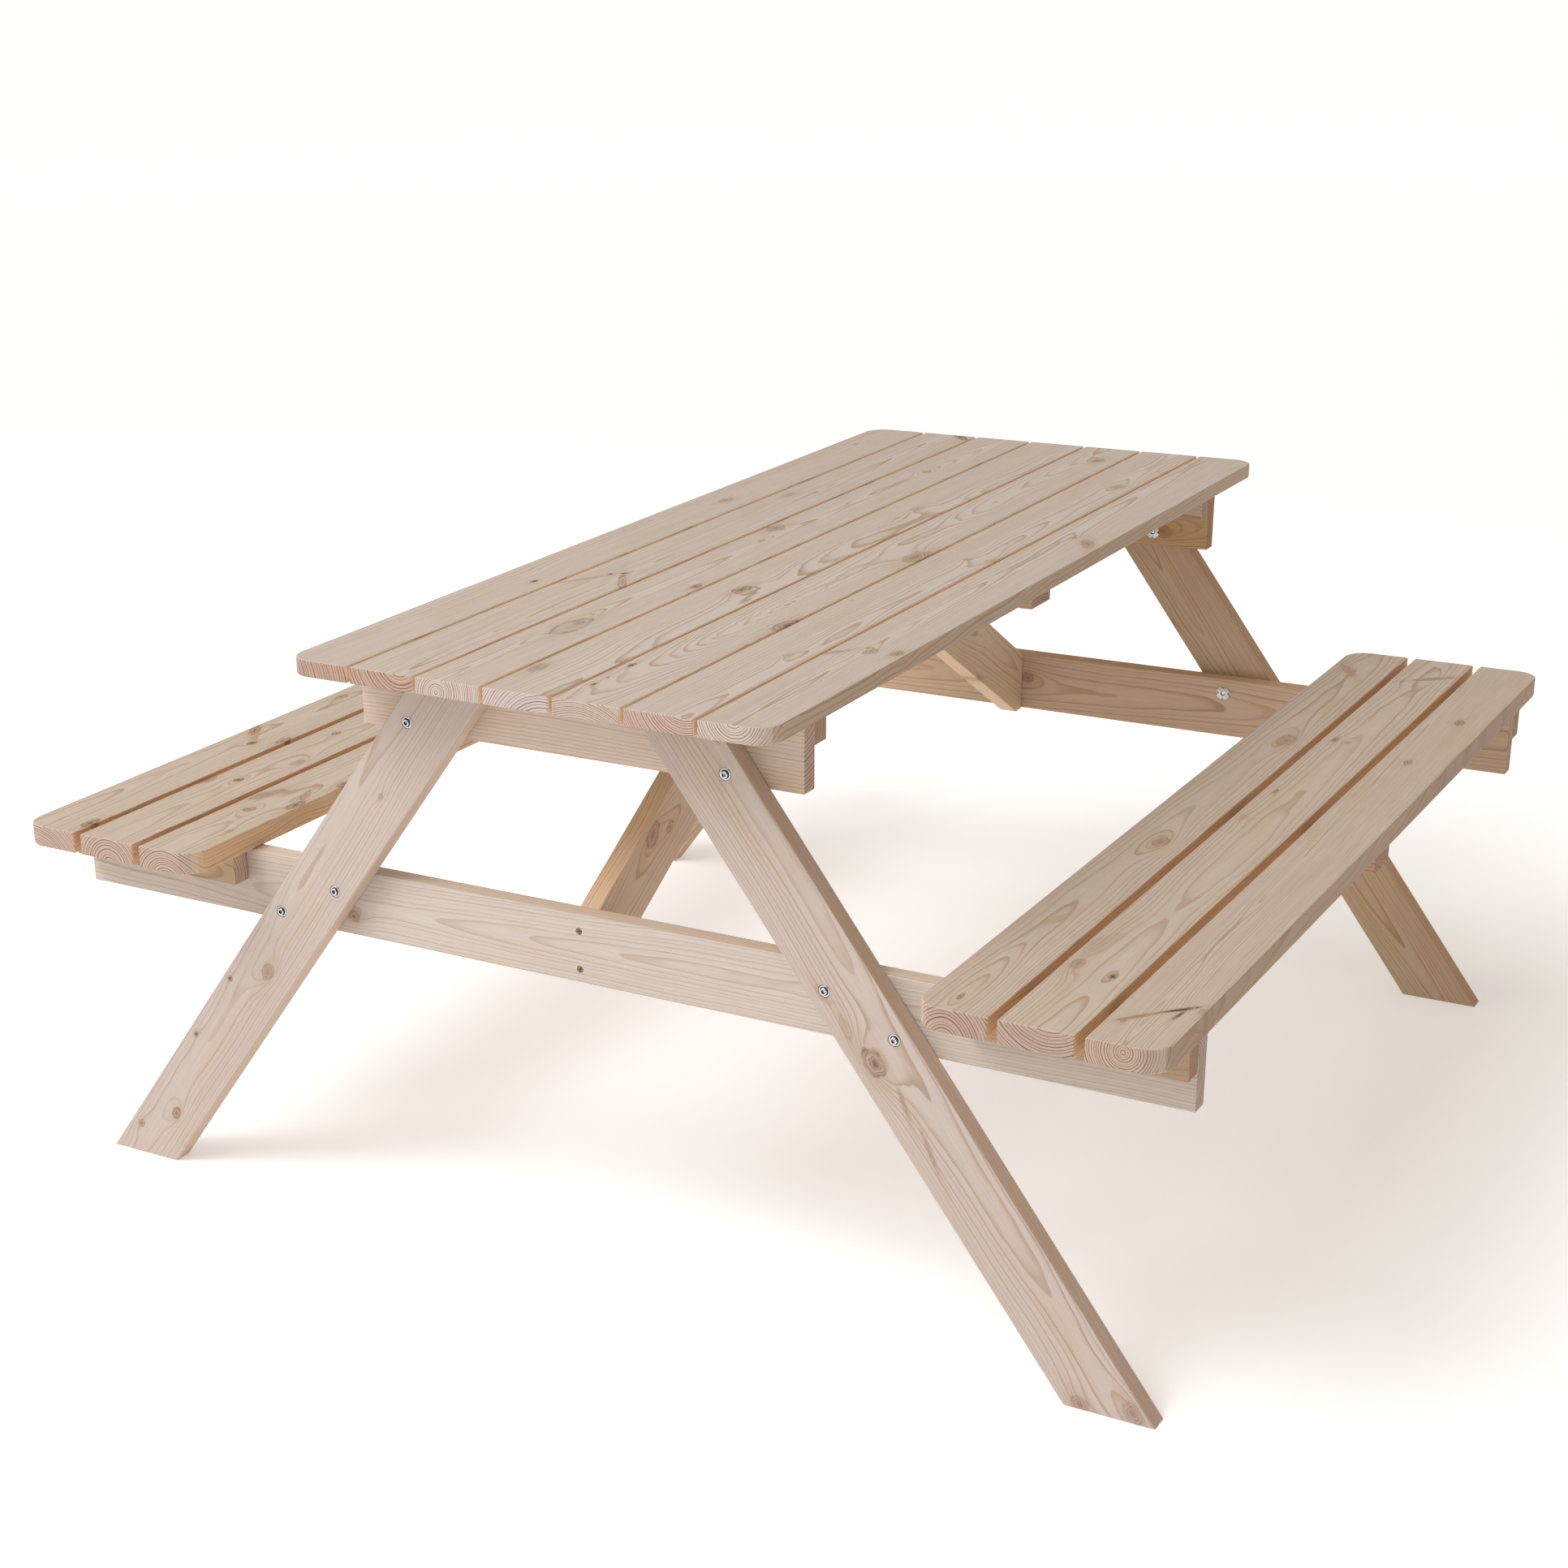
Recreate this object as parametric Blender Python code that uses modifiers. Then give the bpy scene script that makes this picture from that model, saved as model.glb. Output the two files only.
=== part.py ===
"""Picnic table with two fixed benches, built from planed softwood boards.

Units are metres and +Z is up. The length of the table runs along Y, with the near end at -Y,
and the benches are on the left (-X) and the right (+X). The origin is on the ground, under the
middle of the tabletop.
"""

import math

import bmesh
import bpy
from mathutils import Matrix, Vector

# ---------------------------------------------------------------- driving dimensions

LENGTH = 1.500                   # tabletop and benches, along Y
FIT_GAP = 0.0003                 # between two pieces that rest against each other
EDGE_EASE = 0.0014               # planed-off arris on every board
EDGE_STEPS = 2
EASE_ANGLE = math.radians(30)    # edges sharper than this are eased
CORNER_RADIUS = 0.030            # plan radius at the corners of the tabletop and the benches
CORNER_STEPS = 6

TOP_HEIGHT = 0.741
TOP_PLANKS = 7
TOP_PLANK_WIDTH = 0.0844
TOP_PLANK_GAP = 0.0043
TOP_PLANK_THICKNESS = 0.0195

SEAT_HEIGHT = 0.4755
SEAT_PLANKS = 3
SEAT_PLANK_WIDTH = 0.083
SEAT_PLANK_GAP = 0.0105
SEAT_PLANK_THICKNESS = 0.0265
SEAT_INNER_X = 0.472             # edge of the bench that faces the table

BEAM_OUTER_Y = 0.6365            # face of the beams that the legs are bolted to
BEAM_THICKNESS = 0.0245
TOP_BEAM_LENGTH = 0.579
TOP_BEAM_DEPTH = 0.0852
SEAT_BEAM_LENGTH = 1.476
SEAT_BEAM_DEPTH = 0.0846

LEG_WIDTH = 0.0838
LEG_THICKNESS = 0.0265
LEG_FOOT_X = 0.6728              # centre line of the leg at the ground
LEG_TOP_X = 0.1344               # centre line of the leg under the tabletop

STRIP_THICKNESS = 0.0265         # end battens and end cleats, standing on edge
END_BATTEN_DEPTH = 0.037
END_CLEAT_DEPTH = 0.040
MIDDLE_STRIP_WIDTH = 0.0584      # middle batten and middle cleats, lying flat
MIDDLE_STRIP_THICKNESS = 0.0245
CLEAT_SETBACK = 0.010            # cleats start this far in from the edge of the bench

BRACE_WIDTH = 0.083
BRACE_THICKNESS = 0.0265
BRACE_FOOT_TOP_Z = 0.4478        # upper edge of the brace where it meets the seat beam
BRACE_SLOPE = math.radians(31.1)
BRACE_TIP_BELOW_BEAM = 0.002     # the brace's lower tip is sawn level just under the beam

# Bolts, by their place on the leg: distance from the middle plane, and height.
BOLT_PLACES = {
    "top": (0.208, 0.655),
    "inner": (0.328, 0.428),
    "outer": (0.412, 0.3875),
}
BOLT_RADIUS = 0.0040
BOLT_HEAD_RADIUS = 0.00675
BOLT_HEAD_HEIGHT = 0.0038
BOLT_HEAD_RIM = 0.0008
BOLT_DOME_STEPS = 4
BOLT_DOME_FULLNESS = 0.7         # below 1 makes the dome fuller than an ellipse
BOLT_SOCKET_ACROSS_FLATS = 0.005
BOLT_SOCKET_DEPTH = 0.0022
BOLT_RECESS_RADIUS = 0.0076
BOLT_RECESS_DEPTH = 0.0012
BOLT_HOLE_RADIUS = 0.0045
BOLT_END_SHORT = 0.0010          # the bolt ends this far inside the face of its tee nut

NUT_FLANGE_RADIUS = 0.0100
NUT_FLANGE_THICKNESS = 0.0013
NUT_BARREL_RADIUS = 0.0050
NUT_BARREL_LENGTH = 0.0110
NUT_BORE_RADIUS = 0.0043
NUT_HOLE_RADIUS = 0.0054
NUT_NOTCHES = 4
NUT_NOTCH_RADIUS = 0.0036
NUT_NOTCH_CENTRE = 0.0115

SCREW_X = 0.0                    # the two screws of a brace stand above each other
SCREW_HEIGHTS = {"upper": 0.4275, "lower": 0.3805}
SCREW_RADIUS = 0.0022
SCREW_HEAD_RADIUS = 0.0040
SCREW_HEAD_DEPTH = 0.0032
SCREW_LENGTH = 0.070
SCREW_TIP = 0.006
SCREW_SUNK = 0.0004
SCREW_SLOT_LENGTH = 0.0042
SCREW_SLOT_WIDTH = 0.0009
SCREW_SLOT_DEPTH = 0.0016

FASTENER_STEPS = 16
NUT_STEPS = 16
HEX_SIDES = 6
CUT_MARGIN = 0.010               # cutters reach this far past what they cut
MERGE_DISTANCE = 0.00001

# ---------------------------------------------------------------- derived sizes

TOP_UNDERSIDE = TOP_HEIGHT - TOP_PLANK_THICKNESS
SEAT_UNDERSIDE = SEAT_HEIGHT - SEAT_PLANK_THICKNESS
TOP_PLANK_PITCH = TOP_PLANK_WIDTH + TOP_PLANK_GAP
SEAT_PLANK_PITCH = SEAT_PLANK_WIDTH + SEAT_PLANK_GAP
BEAM_INNER_Y = BEAM_OUTER_Y - BEAM_THICKNESS
LEG_INNER_Y = BEAM_OUTER_Y + FIT_GAP
LEG_OUTER_Y = LEG_INNER_Y + LEG_THICKNESS
SEAT_BEAM_BOTTOM = SEAT_UNDERSIDE - SEAT_BEAM_DEPTH
CLEAT_INNER_X = SEAT_INNER_X + CLEAT_SETBACK
CLEAT_OUTER_X = SEAT_BEAM_LENGTH / 2
BOLT_LENGTH = LEG_OUTER_Y - BOLT_RECESS_DEPTH - BEAM_INNER_Y + NUT_FLANGE_THICKNESS - BOLT_END_SHORT

ENDS = {"near": -1, "far": 1}
SIDES = {"left": -1, "right": 1}

WOOD = {"color": (0.79, 0.64, 0.47, 1.0), "roughness": 0.62, "metallic": 0.0}
ZINC = {"color": (0.72, 0.73, 0.75, 1.0), "roughness": 0.28, "metallic": 1.0}
YELLOW_ZINC = {"color": (0.62, 0.50, 0.30, 1.0), "roughness": 0.38, "metallic": 1.0}


# ---------------------------------------------------------------- scene and materials

def clear_scene():
    """Remove whatever the startup scene holds."""
    for item in list(bpy.data.objects):
        bpy.data.objects.remove(item, do_unlink=True)


def new_collection(name):
    """Add a collection to the scene."""
    collection = bpy.data.collections.new(name)
    bpy.context.scene.collection.children.link(collection)
    return collection


def give_material(item, finish):
    """Put a Principled material of the piece's own on the item."""
    material = bpy.data.materials.new(item.name)
    material.use_nodes = True
    shader = material.node_tree.nodes["Principled BSDF"]
    shader.inputs["Base Color"].default_value = finish["color"]
    shader.inputs["Roughness"].default_value = finish["roughness"]
    shader.inputs["Metallic"].default_value = finish["metallic"]
    material.diffuse_color = finish["color"]
    item.data.materials.append(material)


# ---------------------------------------------------------------- boards

def box_mesh(low, high):
    """A box between two corners, as a bmesh."""
    low = Vector(low)
    high = Vector(high)
    bm = bmesh.new()
    bmesh.ops.create_cube(bm, size=1.0)
    bmesh.ops.scale(bm, vec=high - low, verts=bm.verts)
    bmesh.ops.translate(bm, vec=(low + high) / 2, verts=bm.verts)
    return bm


def round_corners(bm, corners):
    """Round the upright edges that stand at the given plan positions."""
    chosen = []
    for edge in bm.edges:
        first, second = edge.verts
        upright = abs(first.co.z - second.co.z) > MERGE_DISTANCE
        at_corner = any((first.co.xy - Vector(corner)).length < MERGE_DISTANCE for corner in corners)
        if upright and at_corner:
            chosen.append(edge)
    if chosen:
        bmesh.ops.bevel(bm, geom=chosen, offset=CORNER_RADIUS, segments=CORNER_STEPS,
                        profile=0.5, affect="EDGES")


def saw(bm, point, normal):
    """Saw the board through a point, and drop the side that the normal points to."""
    geometry = list(bm.verts) + list(bm.edges) + list(bm.faces)
    cut = bmesh.ops.bisect_plane(bm, geom=geometry, plane_co=point, plane_no=normal, clear_outer=True)
    rim = [item for item in cut["geom_cut"] if isinstance(item, bmesh.types.BMEdge)]
    bmesh.ops.contextual_create(bm, geom=rim)


def board(name, bm):
    """Turn a bmesh into a board with eased edges."""
    bmesh.ops.recalc_face_normals(bm, faces=bm.faces)
    mesh = bpy.data.meshes.new(name)
    bm.to_mesh(mesh)
    bm.free()
    item = bpy.data.objects.new(name, mesh)
    pieces.objects.link(item)
    give_material(item, WOOD)
    mesh.shade_smooth()
    ease = item.modifiers.new("eased edges", "BEVEL")
    ease.width = EDGE_EASE
    ease.segments = EDGE_STEPS
    ease.limit_method = "ANGLE"
    ease.angle_limit = EASE_ANGLE
    ease.harden_normals = True
    return item


def plain_board(name, low, high):
    """A square-ended board between two corners."""
    return board(name, box_mesh(low, high))


def plank(name, x_low, x_high, z_low, z_high, rounded_x):
    """A full-length plank whose corners on the rounded_x edge are rounded."""
    half = LENGTH / 2
    bm = box_mesh((x_low, -half, z_low), (x_high, half, z_high))
    round_corners(bm, [(x, y) for x in rounded_x for y in (-half, half)])
    return board(name, bm)


# ---------------------------------------------------------------- cutters and turned pieces

def turned_mesh(name, profile, steps):
    """Turn a profile of (radius, height) points about Z into a closed mesh."""
    bm = bmesh.new()
    corners = [bm.verts.new((radius, 0.0, height)) for radius, height in profile]
    for first, second in zip(corners, corners[1:]):
        bm.edges.new((first, second))
    if profile[0][0] > 0.0:
        bm.edges.new((corners[-1], corners[0]))
    mesh = bpy.data.meshes.new(name)
    bm.to_mesh(mesh)
    bm.free()
    item = bpy.data.objects.new(name, mesh)
    tools.objects.link(item)
    turn = item.modifiers.new("turned", "SCREW")
    turn.axis = "Z"
    turn.angle = math.tau
    turn.steps = steps
    turn.render_steps = steps
    turn.use_merge_vertices = True
    turn.merge_threshold = MERGE_DISTANCE
    return finished_mesh(item)


def finished_mesh(item):
    """Evaluate an item's modifiers into one clean mesh, and remove the item."""
    bpy.context.view_layer.update()
    graph = bpy.context.evaluated_depsgraph_get()
    mesh = bpy.data.meshes.new_from_object(item.evaluated_get(graph))
    mesh.name = item.name
    bpy.data.objects.remove(item, do_unlink=True)
    bm = bmesh.new()
    bm.from_mesh(mesh)
    bmesh.ops.remove_doubles(bm, verts=bm.verts, dist=MERGE_DISTANCE)
    bmesh.ops.recalc_face_normals(bm, faces=bm.faces)
    bm.to_mesh(mesh)
    bm.free()
    return mesh


def tool(name, mesh, matrix):
    """A hidden solid that other pieces are cut with."""
    item = bpy.data.objects.new(name, mesh)
    item.matrix_world = matrix
    item.hide_render = True
    item.display_type = "WIRE"
    tools.objects.link(item)
    return item


def cut_with(item, cutter):
    """Subtract the cutter from the item."""
    cut = item.modifiers.new(cutter.name, "BOOLEAN")
    cut.operation = "DIFFERENCE"
    cut.solver = "EXACT"
    cut.object = cutter


def cylinder_profile(radius, low, high):
    """Profile of a plain cylinder."""
    return [(0.0, low), (radius, low), (radius, high), (0.0, high)]


def hexagon_mesh(across_flats, low, high):
    """A hexagonal rod along Z."""
    radius = across_flats / 2 / math.cos(math.pi / HEX_SIDES)
    bm = bmesh.new()
    bmesh.ops.create_cone(bm, cap_ends=True, segments=HEX_SIDES, radius1=radius, radius2=radius,
                          depth=high - low, matrix=Matrix.Translation((0, 0, (low + high) / 2)))
    mesh = bpy.data.meshes.new("hexagon")
    bm.to_mesh(mesh)
    bm.free()
    return mesh


def outward(x, y, z, end):
    """Place a fastener so that its own +Z points away from the table's end."""
    return Matrix.Translation((x, y, z)) @ Matrix.Rotation(-end * math.pi / 2, 4, "X")


# ---------------------------------------------------------------- fasteners, each along its own Z

def bolt_profile():
    """Button-head bolt: the underside of the head is at height zero."""
    dome = []
    for step in range(1, BOLT_DOME_STEPS):
        angle = step / BOLT_DOME_STEPS * math.pi / 2
        radius = BOLT_HEAD_RADIUS * math.cos(angle) ** BOLT_DOME_FULLNESS
        rise = (BOLT_HEAD_HEIGHT - BOLT_HEAD_RIM) * math.sin(angle)
        dome.append((radius, BOLT_HEAD_RIM + rise))
    start = [(0.0, -BOLT_LENGTH), (BOLT_RADIUS, -BOLT_LENGTH), (BOLT_RADIUS, 0.0)]
    rim = [(BOLT_HEAD_RADIUS, 0.0), (BOLT_HEAD_RADIUS, BOLT_HEAD_RIM)]
    return start + rim + dome + [(0.0, BOLT_HEAD_HEIGHT)]


def bolt_mesh():
    """Button-head bolt with a hexagon socket."""
    item = bpy.data.objects.new("bolt", turned_mesh("bolt blank", bolt_profile(), FASTENER_STEPS))
    tools.objects.link(item)
    socket = hexagon_mesh(BOLT_SOCKET_ACROSS_FLATS, BOLT_HEAD_HEIGHT - BOLT_SOCKET_DEPTH,
                          BOLT_HEAD_HEIGHT + CUT_MARGIN)
    cut_with(item, tool("bolt socket", socket, Matrix.Identity(4)))
    return finished_mesh(item)


def nut_mesh():
    """Tee nut: the flange lies below height zero, and the barrel stands up into the beam."""
    profile = [
        (NUT_BORE_RADIUS, -NUT_FLANGE_THICKNESS),
        (NUT_FLANGE_RADIUS, -NUT_FLANGE_THICKNESS),
        (NUT_FLANGE_RADIUS, 0.0),
        (NUT_BARREL_RADIUS, 0.0),
        (NUT_BARREL_RADIUS, NUT_BARREL_LENGTH),
        (NUT_BORE_RADIUS, NUT_BARREL_LENGTH),
    ]
    item = bpy.data.objects.new("tee nut", turned_mesh("tee nut blank", profile, NUT_STEPS))
    tools.objects.link(item)
    notch = turned_mesh("notch", cylinder_profile(NUT_NOTCH_RADIUS, -CUT_MARGIN, CUT_MARGIN), NUT_STEPS)
    for index in range(NUT_NOTCHES):
        angle = (index + 0.5) / NUT_NOTCHES * math.tau
        place = Matrix.Rotation(angle, 4, "Z") @ Matrix.Translation((NUT_NOTCH_CENTRE, 0, 0))
        cut_with(item, tool(f"nut notch {index}", notch, place))
    return finished_mesh(item)


def screw_profile(clearance):
    """Countersunk screw: the top of the head is at height zero."""
    head = SCREW_HEAD_RADIUS + clearance
    shank = SCREW_RADIUS + clearance
    return [
        (0.0, -SCREW_LENGTH - clearance),
        (shank, -SCREW_LENGTH + SCREW_TIP),
        (shank, -SCREW_HEAD_DEPTH - clearance),
        (head, 0.0),
        (0.0, 0.0),
    ]


def screw_hole_profile():
    """The hole for a countersunk screw, open above the head."""
    return screw_profile(FIT_GAP)[:-1] + [(SCREW_HEAD_RADIUS + FIT_GAP, CUT_MARGIN), (0.0, CUT_MARGIN)]


def screw_mesh():
    """Countersunk screw with a cross recess."""
    item = bpy.data.objects.new("screw", turned_mesh("screw blank", screw_profile(0.0), FASTENER_STEPS))
    tools.objects.link(item)
    half_length = SCREW_SLOT_LENGTH / 2
    half_width = SCREW_SLOT_WIDTH / 2
    for index, (x, y) in enumerate([(half_length, half_width), (half_width, half_length)]):
        bm = box_mesh((-x, -y, -SCREW_SLOT_DEPTH), (x, y, CUT_MARGIN))
        slot = bpy.data.meshes.new("screw slot")
        bm.to_mesh(slot)
        bm.free()
        cut_with(item, tool(f"screw slot {index}", slot, Matrix.Identity(4)))
    return finished_mesh(item)


def fastener(name, mesh, matrix, finish):
    """One bolt, nut or screw in its place, with its own copy of the shared shape."""
    item = bpy.data.objects.new(name, mesh.copy())
    item.matrix_world = matrix
    pieces.objects.link(item)
    item.data.materials.clear()
    give_material(item, finish)
    item.data.shade_flat()
    return item


# ---------------------------------------------------------------- the table

def build_tabletop():
    """Seven planks, two end battens standing on edge and one middle batten lying flat."""
    width = TOP_PLANKS * TOP_PLANK_PITCH - TOP_PLANK_GAP
    for index in range(TOP_PLANKS):
        x_low = -width / 2 + index * TOP_PLANK_PITCH
        x_high = x_low + TOP_PLANK_WIDTH
        rounded = []
        if index == 0:
            rounded.append(x_low)
        if index == TOP_PLANKS - 1:
            rounded.append(x_high)
        plank(f"top_plank_{index + 1}", x_low, x_high, TOP_UNDERSIDE, TOP_HEIGHT, rounded)

    half = TOP_BEAM_LENGTH / 2
    top_z = TOP_UNDERSIDE - FIT_GAP
    for end_name, end in ENDS.items():
        faces = sorted([end * (BEAM_INNER_Y - FIT_GAP), end * (BEAM_INNER_Y - FIT_GAP - STRIP_THICKNESS)])
        plain_board(f"top_batten_{end_name}", (-half, faces[0], top_z - END_BATTEN_DEPTH),
                    (half, faces[1], top_z))
    plain_board("top_batten_middle", (-half, -MIDDLE_STRIP_WIDTH / 2, top_z - MIDDLE_STRIP_THICKNESS),
                (half, MIDDLE_STRIP_WIDTH / 2, top_z))


def build_bench(side_name, side):
    """Three planks on two end cleats and a middle cleat. Plank 1 is the one nearest the table."""
    for index in range(SEAT_PLANKS):
        inner = SEAT_INNER_X + index * SEAT_PLANK_PITCH
        outer = inner + SEAT_PLANK_WIDTH
        x_low, x_high = sorted([side * inner, side * outer])
        rounded = []
        if index == 0:
            rounded.append(side * inner)
        if index == SEAT_PLANKS - 1:
            rounded.append(side * outer)
        plank(f"{side_name}_seat_plank_{index + 1}", x_low, x_high, SEAT_UNDERSIDE, SEAT_HEIGHT, rounded)

    x_low, x_high = sorted([side * CLEAT_INNER_X, side * CLEAT_OUTER_X])
    top_z = SEAT_UNDERSIDE - FIT_GAP
    for end_name, end in ENDS.items():
        faces = sorted([end * LEG_INNER_Y, end * (LEG_INNER_Y + STRIP_THICKNESS)])
        plain_board(f"{side_name}_seat_cleat_{end_name}", (x_low, faces[0], top_z - END_CLEAT_DEPTH),
                    (x_high, faces[1], top_z))
    plain_board(f"{side_name}_seat_cleat_middle",
                (x_low, -MIDDLE_STRIP_WIDTH / 2, top_z - MIDDLE_STRIP_THICKNESS),
                (x_high, MIDDLE_STRIP_WIDTH / 2, top_z))


def build_beams(end_name, end):
    """The short beam under the tabletop and the long beam under both benches."""
    faces = sorted([end * BEAM_INNER_Y, end * BEAM_OUTER_Y])
    beams = {}
    sizes = {
        "top": (TOP_BEAM_LENGTH, TOP_BEAM_DEPTH, TOP_UNDERSIDE),
        "seat": (SEAT_BEAM_LENGTH, SEAT_BEAM_DEPTH, SEAT_UNDERSIDE),
    }
    for level, (length, depth, underside) in sizes.items():
        top_z = underside - FIT_GAP
        beams[level] = plain_board(f"{level}_beam_{end_name}", (-length / 2, faces[0], top_z - depth),
                                   (length / 2, faces[1], top_z))
    return beams


def build_leg(end_name, end, side_name, side):
    """A leaning leg, sawn level at the ground and under the tabletop."""
    foot = Vector((side * LEG_FOOT_X, 0.0, 0.0))
    head = Vector((side * LEG_TOP_X, 0.0, TOP_UNDERSIDE - FIT_GAP))
    lean = math.atan2(head.x - foot.x, head.z - foot.z)
    half_length = (head - foot).length / 2 + LEG_WIDTH
    bm = box_mesh((-LEG_WIDTH / 2, -LEG_THICKNESS / 2, -half_length),
                  (LEG_WIDTH / 2, LEG_THICKNESS / 2, half_length))
    middle = (foot + head) / 2 + Vector((0.0, end * (LEG_INNER_Y + LEG_THICKNESS / 2), 0.0))
    bmesh.ops.transform(bm, matrix=Matrix.Translation(middle) @ Matrix.Rotation(lean, 4, "Y"),
                        verts=bm.verts)
    saw(bm, foot, (0, 0, -1))
    saw(bm, head, (0, 0, 1))
    return board(f"leg_{end_name}_{side_name}", bm)


def build_brace(end_name, end):
    """A diagonal board from the seat beam up to the middle batten, in the middle plane.

    The foot is upright against the beam, with its lower tip sawn level. The upper end is level
    under the middle plank and upright against the side of the middle batten.
    """
    foot_y = BEAM_INNER_Y - FIT_GAP
    run = Vector((0.0, -math.cos(BRACE_SLOPE), math.sin(BRACE_SLOPE)))
    across = Vector((0.0, -math.sin(BRACE_SLOPE), -math.cos(BRACE_SLOPE)))
    foot_top = Vector((0.0, foot_y, BRACE_FOOT_TOP_Z))
    half_length = LENGTH / 2
    bm = box_mesh((-BRACE_THICKNESS / 2, -half_length, -BRACE_WIDTH / 2),
                  (BRACE_THICKNESS / 2, half_length, BRACE_WIDTH / 2))
    place = Matrix.Translation(foot_top + across * BRACE_WIDTH / 2 + run * half_length / 2)
    bmesh.ops.transform(bm, matrix=place @ Matrix.Rotation(-BRACE_SLOPE, 4, "X"), verts=bm.verts)
    batten_side = MIDDLE_STRIP_WIDTH / 2 + FIT_GAP
    saw(bm, foot_top, (0, 1, 0))
    saw(bm, (0, 0, SEAT_BEAM_BOTTOM - BRACE_TIP_BELOW_BEAM), (0, 0, -1))
    saw(bm, (0, 0, TOP_UNDERSIDE - FIT_GAP), (0, 0, 1))
    saw(bm, (0, batten_side, 0), (0, -1, 0))
    if end < 0:
        bmesh.ops.rotate(bm, cent=(0, 0, 0), matrix=Matrix.Rotation(math.pi, 3, "Z"), verts=bm.verts)
    return board(f"brace_{end_name}", bm)


def bolt_leg(end_name, end, side_name, side, leg, beams, shapes):
    """Bore the leg and its beams, and fit three bolts with their tee nuts."""
    for place, (x, z) in BOLT_PLACES.items():
        x = side * x
        label = f"{end_name}_{side_name}_{place}"
        beam = beams["top"] if place == "top" else beams["seat"]
        at_leg = outward(x, end * LEG_OUTER_Y, z, end)
        at_beam = outward(x, end * BEAM_INNER_Y, z, end)
        cut_with(leg, tool(f"recess {label}", shapes["recess"], at_leg))
        cut_with(leg, tool(f"leg hole {label}", shapes["leg hole"], at_leg))
        cut_with(beam, tool(f"nut hole {label}", shapes["nut hole"], at_beam))
        head_y = end * (LEG_OUTER_Y - BOLT_RECESS_DEPTH + FIT_GAP)
        fastener(f"bolt_{label}", shapes["bolt"], outward(x, head_y, z, end), ZINC)
        nut_y = end * (BEAM_INNER_Y - FIT_GAP)
        fastener(f"tee_nut_{label}", shapes["nut"], outward(x, nut_y, z, end), ZINC)


def screw_brace(end_name, end, brace, beam, shapes):
    """Bore the seat beam and the brace, and fit the two screws that hold the brace's foot."""
    for place, z in SCREW_HEIGHTS.items():
        label = f"{end_name}_{place}"
        matrix = outward(SCREW_X, end * (BEAM_OUTER_Y - SCREW_SUNK), z, end)
        hole = tool(f"screw hole {label}", shapes["screw hole"], matrix)
        cut_with(beam, hole)
        cut_with(brace, hole)
        fastener(f"brace_screw_{label}", shapes["screw"], matrix, YELLOW_ZINC)


def fastener_shapes():
    """The shapes that are used again and again: fasteners, and the tools that bore for them."""
    recess = cylinder_profile(BOLT_RECESS_RADIUS, -BOLT_RECESS_DEPTH, CUT_MARGIN)
    leg_hole = cylinder_profile(BOLT_HOLE_RADIUS, -LEG_THICKNESS - CUT_MARGIN, CUT_MARGIN)
    nut_hole = cylinder_profile(NUT_HOLE_RADIUS, -CUT_MARGIN, BEAM_THICKNESS + CUT_MARGIN)
    return {
        "bolt": bolt_mesh(),
        "nut": nut_mesh(),
        "screw": screw_mesh(),
        "recess": turned_mesh("recess", recess, NUT_STEPS),
        "leg hole": turned_mesh("leg hole", leg_hole, FASTENER_STEPS),
        "nut hole": turned_mesh("nut hole", nut_hole, FASTENER_STEPS),
        "screw hole": turned_mesh("screw hole", screw_hole_profile(), FASTENER_STEPS),
    }


clear_scene()
pieces = new_collection("picnic_table")
tools = new_collection("cutting_tools")
tools.hide_render = True

shared_shapes = fastener_shapes()
build_tabletop()
for bench_name, bench_side in SIDES.items():
    build_bench(bench_name, bench_side)
for frame_name, frame_end in ENDS.items():
    frame_beams = build_beams(frame_name, frame_end)
    for leg_name, leg_side in SIDES.items():
        new_leg = build_leg(frame_name, frame_end, leg_name, leg_side)
        bolt_leg(frame_name, frame_end, leg_name, leg_side, new_leg, frame_beams, shared_shapes)
    new_brace = build_brace(frame_name, frame_end)
    screw_brace(frame_name, frame_end, new_brace, frame_beams["seat"], shared_shapes)
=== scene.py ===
"""Looks of the pine picnic table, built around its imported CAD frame.

Every board keeps its CAD shape and gets its own procedural pine: growth rings about a pith line,
knots, fibre streaks and end grain. The bolts, tee nuts and screws are replaced with finer pieces,
and the screws that hold the planks to their battens and cleats are added on the underside.

Axes are the frame's: Z is up, the benches are on -X and +X, and the near end is -Y. Boards are
described in millimetres in their own axes: along the grain, across the width, and through.
"""
import math

import bmesh
import bpy
from mathutils import Euler, Matrix, Vector


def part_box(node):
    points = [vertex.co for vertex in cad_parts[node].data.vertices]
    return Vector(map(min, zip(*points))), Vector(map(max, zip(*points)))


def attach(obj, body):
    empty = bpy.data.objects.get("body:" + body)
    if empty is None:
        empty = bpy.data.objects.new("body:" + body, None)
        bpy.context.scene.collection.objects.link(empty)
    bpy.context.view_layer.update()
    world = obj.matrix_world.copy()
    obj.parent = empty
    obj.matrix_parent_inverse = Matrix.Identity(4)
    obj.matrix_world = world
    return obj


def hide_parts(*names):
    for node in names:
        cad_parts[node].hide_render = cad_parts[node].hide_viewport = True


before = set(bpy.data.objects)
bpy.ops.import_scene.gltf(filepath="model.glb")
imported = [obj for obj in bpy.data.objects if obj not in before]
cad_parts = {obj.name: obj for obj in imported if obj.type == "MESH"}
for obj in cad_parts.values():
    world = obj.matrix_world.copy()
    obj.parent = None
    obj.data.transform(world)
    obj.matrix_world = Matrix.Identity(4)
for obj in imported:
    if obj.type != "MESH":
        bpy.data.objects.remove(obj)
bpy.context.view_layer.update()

MM = 0.001
ENDS = ("near", "far")
SIDES = ("left", "right")

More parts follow.
